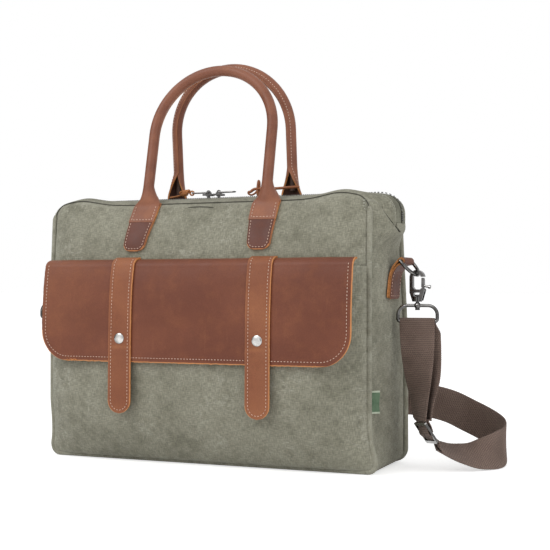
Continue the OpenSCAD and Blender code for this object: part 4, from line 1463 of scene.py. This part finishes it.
# Places of the run over the floor, and how far it has turned over
strapRoute = [
    (245, 7, 27, 10), (252, 10, 24, 14), (261, 14, 20, 20), (271, 20, 17, 28),
    (282, 27, 15, 38), (293, 35, 16, 52), (302, 46, 18, 66), (307, 63, 21, 80),
    (306, 84, 24, 90), (296, 102, 31, 98), (279, 112, 39, 100), (259, 114, 48, 98),
    (238, 110, 58, 95), (216, 103, 64, 92), (194, 95, 67, 90), (155, 86, 66, 90),
    (110, 80, 62, 90), (60, 76, 56, 90), (0, 74, 50, 90), (-60, 75, 48, 90),
    (-115, 79, 52, 90), (-160, 84, 63, 88), (-194, 85, 80, 78), (-214, 79, 98, 62),
    (-225, 64, 115, 42), (-229, 46, 128, 22), (-229, 28, 138, 8), (-228, 14, 144, 0),
    (-228, 7, 147, 0)]
routePlaces = [Vector(p[:3]) for p in strapRoute]


def webbingPiece(name, line, sides):
    # A flat band along line; sides gives the way across its width at each place
    s = webbing
    both = evenly(np.hstack([np.array(line, float), np.array(sides, float)]), s["step"])
    total = len(both) - 1

    def place(u, v):
        here, ahead = onLine(both, v * total)
        across = Vector(here[3:]).normalized()
        face = Vector(ahead[:3]).cross(across).normalized()
        length = v * total * s["step"]
        wave = math.cos(2 * math.pi * length / s["rib"])
        a = 2 * math.pi * u
        wide = math.copysign(abs(math.cos(a)) ** 0.35, math.cos(a)) * s["wide"] / 2
        wide *= 1 + 0.008 * wave
        rise = math.copysign(abs(math.sin(a)) ** 0.45, math.sin(a))
        high = rise * (s["thick"] / 2 + s["ribHigh"] * wave * (1 if abs(rise) > 0.6 else 0.4))
        return Vector(here[:3]) + across * wide + face * high, (wide, length), 0.0

    piece = closedPiece(name, 24, total, place, "webbing", 75)
    return piece


w = webbing
layerOut = w["wire"] + 0.2 + w["thick"] / 2


def crossWays(turn):
    return Vector((cosd(turn), sind(turn), 0)), Vector((-sind(turn), cosd(turn), 0))


def dropPlace(z, layer, turnStart=w["turnRight"]):
    # Centre and width of one layer of the doubled webbing at height z
    hang = smooth((w["loopLow"] - z) / (w["loopLow"] - w["glideTop"]))
    across, face = crossWays(turnStart - w["twist"] * hang)
    at = atSide(w["stemOut"], 0, z)
    if layer > 0:
        at += (across + face / 2) * (w["slack"] * smooth((w["loopLow"] - z) / 14)
                                     * smooth((z - w["dropEnd"]) / 50))
    return at + Vector((w["shift"] * hang, 0, 0)) + face * layer * layerOut, across


def heights(high, low):
    return spread(high, low, max(2, int((high - low) / 2.0)))


def wrapStrip(name, low, turnStart, sign=1):
    # Over the lower bar of the loop, and down on both sides of it
    across, face = crossWays(turnStart)
    bar = atSide(w["stemOut"], 0, w["loopLow"])
    down = heights(w["loopLow"] - 0.4, low)
    places = [dropPlace(z, -1, turnStart) for z in down[::-1]]
    places += [(bar + face * layerOut * cosd(a) + Vector((0, 0, layerOut * sind(a))), across)
               for a in range(180, -1, -12)]
    places += [dropPlace(z, 1, turnStart) for z in down]
    flip = Matrix.Diagonal((sign, 1, 1))
    return webbingPiece(name, *[[flip @ p for p in column] for column in zip(*places)])


def doubleStrip(name, high, low):
    return join(name, [webbingPiece("WebbingPart", *zip(*[dropPlace(z, side)
                                                          for z in heights(high, low)]))
                       for side in (-1, 1)])


def glidePoint(along, out, across=0.0):
    # Along the adjuster's length, off its plane, and across it
    lean, roll, heading = [math.radians(a) for a in w["glideTurn"]]
    turn = (Matrix.Rotation(heading, 3, "Z") @ Matrix.Rotation(lean, 3, "X")
            @ Matrix.Rotation(roll, 3, "Y"))
    return Vector(w["glide"]) + turn @ Vector((across, out, along))


def runAcross(i):
    # Way across the run at route point i
    before, after = [routePlaces[min(max(k, 0), len(routePlaces) - 1)] for k in (i - 1, i + 1)]
    ahead = (after - before).normalized()
    level = Vector((-ahead.y, ahead.x, 0)).normalized()
    roll = strapRoute[i][3]
    return level * cosd(roll) + ahead.cross(level) * sind(roll)


def fromDrop(layer, centres, steps, quick):
    # From the end of one layer on through the centres, turning the adjuster's way
    last, across = dropPlace(w["dropEnd"], layer)
    line = curveThrough([dropPlace(w["dropEnd"] + 3, layer)[0], last] + centres, steps)
    glideAcross = glidePoint(0, 0, 1) - glidePoint(0, 0)
    return line, [across.lerp(glideAcross, smooth(t * quick)) for t in spread(0, 1, len(line) - 1)]


high, low = w["split"]
joint = w["joint"]
wrapRight = wrapStrip("WebbingWrapRight", high - joint, w["turnRight"])
middleRight = doubleStrip("WebbingMiddleRight", high + joint, low - joint)
lowRight = doubleStrip("WebbingLowRight", low + joint, w["dropEnd"])
line, ways = fromDrop(-1, [glidePoint(11.4, 2.4), glidePoint(6, 0.2), glidePoint(0, -2.4),
                           glidePoint(-6, 0.0), glidePoint(-11.4, 2.5),
                           Vector((247.2, 6.6, 27.6)), routePlaces[1]], 8, 3.2)
ways = [way.lerp(-runAcross(0), smooth((t - 0.75) * 4))
        for way, t in zip(ways, spread(0, 1, len(line) - 1))]
through = webbingPiece("WebbingThroughGlide", line, ways)
# The other layer turns round the adjuster's middle bar, where it is sewn
sewnEnd = webbingPiece("WebbingSewnEnd", *fromDrop(
    1, [glidePoint(11.4, 5.0), glidePoint(5, 4.2), glidePoint(-1, 2.4)], 6, 2))
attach(through, "bag")
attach(sewnEnd, "bag")
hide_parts("strap_drop_top")
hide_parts("strap_drop_low")
for piece, first, second, zHigh, zLow, x in (
        (wrapRight, "loop_right", "hook_right", w["loopLow"] - 6, high + 1, 228),
        (middleRight, "hook_right", "ring_right", high - 1, low + 1, 230),
        (lowRight, "ring_right", "bag", low - 1, w["dropEnd"] + 6, 232)):
    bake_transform(piece)

routeLine = curveThrough(routePlaces, 8)
strapRun = webbingPiece("WebbingRun", routeLine, curveThrough(
    [runAcross(i) for i in range(len(strapRoute))], 8))
runLength = float(lengthsOf(np.array(routeLine))[-1]) * mm
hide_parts("strap_run")
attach(strapRun, "bag")

wrapLeft = wrapStrip("WebbingWrapLeft", w["loopLow"] - 8.5, 0, -1)
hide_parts("strap_end_left")
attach(wrapLeft, "loop_left")
print("stage 12: webbing,", round(runLength, 3), "m of it in the run")

# Laces on the pulls

lace = {"pullEnd": 36.1, "y": -9, "z": 304.9}


def lacePiece(name, node, body, side, parts, look="leatherBright"):
    # Places are counted from the end of the pull, outward, back and up
    start = Vector((side * lace["pullEnd"], lace["y"], lace["z"]))
    pieces = []
    for line, radius, flatness in parts:
        line = curveThrough([start + Vector(p) for p in line], 8)
        pieces.append(tubePiece("LacePart", line, radius, look, 10, flatness, 0.8))
    finished(join(name, pieces), body, "leather", node)


def loopRound(centre, across, up, wide, high, turns=1.0, count=14, drift=(0, 0, 0)):
    return [Vector(centre) + Vector(across) * wide * math.cos(2 * math.pi * k / count)
            + Vector(up) * high * math.sin(2 * math.pi * k / count) + Vector(drift) * k / count
            for k in range(int(count * turns) + 1)]


lacePiece("LaceLeft", "lace_left", "pull_left", -1, [
    (loopRound((-0.6, 0, 0), (1, 0, 0), (0, 0, 1), 2.4, 2.3), 1.1, 0.9),
    (loopRound((-5.2, 0, 0.9), (0, 1, 0), (0.35, 0, 1), 2.5, 2.7, 3.2, 12, (-2.3, 0, -0.2)),
     1.5, 0.8),
    ([(-3, 0.5, 0), (-7, 0, 0.8), (-12, 0.4, -0.4), (-17, 1.5, -2.2), (-24, 2.5, -3.4),
      (-31, 2.8, -4.0)], 1.8, 0.55),
    ([(-8, -1, 1.2), (-12, -2.8, 2.2), (-15.5, -1.6, 0.6), (-13, 1, -1.2)], 1.3, 0.7),
], "leatherLace")
lacePiece("LaceRight", "lace_right", "pull_right", 1, [
    ([(-1.2, -0.8, -1.6), (1.4, 0, -0.4), (4.5, 0, 1.6), (9, 0, 2.3), (28, 0.6, 2.0),
      (44, 1.0, 2.5), (60, 0.5, 3.0)], 2.3, 0.7),
    ([(-1.6, 1.2, 0.6), (-2.2, 0.6, -2.4), (1.8, 0.4, -4.4), (6.4, 0, -2.6), (9.4, 0, 0.6)],
     1.5, 0.7),
    (loopRound((10.5, 0, 3.0), (0.25, 0.3, 0), (0.06, 0, 1), 3.2, 8.6), 1.5, 0.8),
])
print("stage 13: laces")

# Seam tag, bar tacks and zip stitching

tagSize = {"deep": 9.5, "high": 24, "thick": 0.5, "edge": 1.6, "seam": 0.012}


def tagPiece():
    s = tagSize
    hit, _ = onSurface("seamTag", sideRight)
    centreZ = hit.z / mm

    def place(u, v):
        z = centreZ + (v - 0.5) * s["high"]
        d = topHalf + cornerArc + seamHeight - cornerRadius - z
        t = s["seam"] + u * s["deep"] / band["sideWide"]
        curl = 0.8 + 4.2 * u ** 2 + 0.4 * math.sin(v * 7 + u * 2) * u
        return bandPoint(d, t, -curl - 0.2), (u * s["deep"], z), 0

    piece = sheet("SeamTag", 8, 26, place, s["thick"], "tag")
    piece.data.materials.append(finishes["tagEdge"])
    for polygon in piece.data.polygons:
        away = abs(polygon.center.z / mm - centreZ)
        polygon.material_index = 1 if away > s["high"] / 2 - s["edge"] else 0
    finished(piece, "bag", "tag", "seam_tag")
    return hit


def tackRows(pointName, carriers, high, wide):
    # Crossed stitches over the end of a welt
    hit, normal = onSurface(pointName, *carriers)
    out = normal if normal.y < 0 else -normal
    rows = []
    for z in spread(-high / 2, high / 2, 3):
        for sign in (-1, 1):
            half = Vector((sign * wide / 2, 0, 1.2))
            middle = hit / mm + Vector((0, 0, z)) + out * 0.3
            rows.append(([middle - half, middle + half], [out, out]))
    return rows, hit


def zipStitches():
    rows = []
    for inward in (0.035, 0.057):
        for t in (band["zipEdge"] - inward, 1 - band["zipEdge"] + inward):
            points = [bandPoint(along * seamEnd(t), t, 0.1) for along in spread(-0.97, 0.97, 160)]
            rows.append((points, [(0, 0, 1)] * len(points)))
    return rows


tagHit = tagPiece()
tackRight, tackRightHit = tackRows("seamTackRight", [frontPanel, sideRight], 9, 4)
tackLeft, tackLeftHit = tackRows("seamTackLeft", [frontPanel, sideLeft], 8, 3)
tacks = stitches("SeamTacks", tackRight + tackLeft, 3.2, 0.4, 0.7, "canvasThread")
finished(tacks, "bag", "canvas")
zipThread = stitches("ZipStitching", zipStitches(), 2.6, 1.1, 0.6, "canvasThread")
finished(zipThread, "bag", "canvas")
print("stage 14: tag, tacks and zip stitching")

# Quilted pads inside

padding = {"square": 42, "channel": 0.45, "channelWide": 2.4, "step": 3.2, "corner": 20}


def padPiece(name, node, half, high, thick, squareFoot, base, tilt):
    # A closed pad, crowned to its edges and quilted in squares, in its CAD place
    s = padding
    turn = Matrix.Rotation(math.radians(tilt), 3, "X")

    def place(u, v):
        z = high * v
        wide = half - cornerCut(s["corner"], z - high + s["corner"])
        if not squareFoot:
            wide -= cornerCut(s["corner"], s["corner"] - z)
        side = -1 if u < 0.5 else 1
        way = side * (4 * u - 2) - 1
        x = wide * way
        crown = (1 - abs(way) ** 14) ** 0.5 * (1 - abs(2 * v - 1) ** 16) ** 0.5
        seam = max(dent(p - s["square"] * round(p / s["square"]), s["channelWide"])
                   for p in (x, z - high / 2))
        y = side * thick / 2 * crown * (1 - s["channel"] * seam)
        return Vector(base) + turn @ Vector((x, y - thick / 2, z)), (x, z), 0.0

    piece = closedPiece(name, int(4 * half / s["step"]), int(high / s["step"]), place, "foam")
    finished(piece, "bag", "foam", node)


padPiece("LaptopDivider", "laptop_divider", 166, 200, 5, True, (0, 4, 8.2), 0)
padPiece("BackPadding", "back_padding", 178, 232, 6, False, (0, 46, 8), 3.5)
print("stage 15: pads")

# Finishes of the CAD nodes that are carried over

nodeFinishes = {
    "gunmetal": ["ring_left", "ring_right", "hook_left", "hook_right", "gate_left",
                 "gate_right", "loop_left", "loop_right", "tri_glide", "slider_left",
                 "slider_right", "pull_left", "pull_right"],
    "nickel": ["snap_caps", "snap_sockets", "snap_studs"],
    "spring": ["hook_spring_left", "hook_spring_right"],
    "coreCord": ["grip_core_front", "grip_core_back"],
    "board": ["base_board"],
    "lining": ["lining"],
}
for look, names in nodeFinishes.items():
    for name in names:
        paint(nodes[name], look)
        shadeSmooth(nodes[name], 42)
print("stage 16: finishes of the CAD nodes")

# Floor and light

light = {"world": 0.62, "key": 26.0, "fill": 9.0, "floor": 0.86, "floorGlow": 0.56,
         "cardShade": 0.02}


def floorPiece():
    floor = primitive("plane", "Floor", size=90, location=(0, 0, 0))
    m = newFinish("floor")
    m.fill(m.main, Base_Color=(light["floor"],) * 3, Roughness=0.9, Specular_IOR_Level=0.1)
    strength = m.maths("MULTIPLY", m.straightSeen(), light["floorGlow"])
    glow = m.add("Emission", Color=(1, 1, 1), Strength=strength)
    both = m.add("AddShader", i0=m.main.outputs[0], i1=glow.outputs[0])
    m.fill(m.tree.nodes["Material Output"], Surface=both.outputs[0])
    paint(floor, "floor")
    floor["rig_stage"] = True


def darkCard(name, place, turn, wide, high):
    # A black card beside the set, which only polished surfaces reflect
    card = primitive("plane", name, size=1, location=place,
                     rotation=(math.pi / 2, 0, math.radians(turn)))
    card.scale = (wide, high, 1)
    card.visible_camera = False
    card.visible_diffuse = False
    card.visible_shadow = False
    paint(card, "cardBlack")
    card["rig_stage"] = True


def areaLamp(name, place, aim, size, power):
    data = bpy.data.lights.new(name, "AREA")
    data.shape = "RECTANGLE"
    data.size = data.size_y = size
    data.energy = power
    lamp = bpy.data.objects.new(name, data)
    bpy.context.scene.collection.objects.link(lamp)
    lamp.location = place
    lamp.rotation_euler = (Vector(aim) - Vector(place)).to_track_quat("-Z", "Y").to_euler()


floorPiece()
world = bpy.data.worlds.new("World")
bpy.context.scene.world = world
world.use_nodes = True
sky = Nodes(world.node_tree, "Background")
sky.fill(sky.main, Color=(1, 1, 1),
         Strength=sky.ramp(sky.straightSeen(), 0.0, 1.0, light["world"], 1.0))
cardLook = newFinish("cardBlack")
cardLook.fill(cardLook.main, Base_Color=(light["cardShade"],) * 3, Specular_IOR_Level=0.0)
darkCard("CardRight", (2.3, 0.2, 0.9), 90, 3.4, 1.7)
darkCard("CardLeft", (-2.1, 0.4, 0.9), 90, 3.4, 1.7)
darkCard("CardFront", (0.9, -3.2, 0.55), 10, 1.5, 1.0)
areaLamp("KeyLamp", (-1.1, -1.7, 1.9), (0, 0, 0.15), 1.6, light["key"])
areaLamp("FillLamp", (1.9, -0.6, 0.9), (0.1, 0, 0.15), 1.4, light["fill"])
bpy.context.scene.view_settings.view_transform = "Standard"
print("stage 17: floor and light")

# What shows where

tabReach = sideTab["half"] + leaning(sideTab["low"])
shownAt = {
    "snapLeft": closureFace(middles[0], closure["snap"]),
    "snapRight": closureFace(middles[1], closure["snap"]),
    "closureEndLeft": closureFace(middles[0], closure["low"]),
    "closureEndRight": closureFace(middles[1], closure["low"]),
    "tabEndLeft": sewnPoint(1, -handle["gap"] / 2, handle["tabLow"], 2.4),
    "tabEndRight": sewnPoint(1, handle["gap"] / 2, handle["tabLow"], 2.4),
    "sliderLeft": Vector((-15.5, -9, 303)),
    "sliderRight": Vector((-2.5, -9, 303)),
    "seamPleat": frontFace(-6, 287),
    "sideTabLow": atSide(4.5, -tabReach, sideTab["low"]),
    "seamTag": tagHit / mm,
    "seamTackRight": tackRightHit / mm,
    "seamTackLeft": tackLeftHit / mm,
}


def shownPoints():
    # How far each image point lies from what it names, in pixels
    cords = set(frame["record"]["physics"].get("cord_nodes", []))
    bpy.context.view_layer.update()
    seen = np.array([imagePlace(piece.matrix_world @ v.co) for piece in bpy.context.scene.objects
                     if piece.type == "MESH" and not piece.get("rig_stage")
                     and not piece.hide_render and piece.name not in cords
                     and not piece.name.startswith("Webbing")
                     for v in piece.data.vertices])
    left, top = seen.min(axis=0)
    right, bottom = seen.max(axis=0)
    places = {"leftSide": (left, None), "rightSide": (right, None), "top": (None, top),
              "bottom": (None, bottom)}
    for name, point in shownAt.items():
        places[name] = imagePlace(point * mm)
    return {name: [None if at is None else round(float(at - want), 2)
                   for at, want in zip(place, imagePoints[name])]
            for name, place in places.items()}


shownPoints()
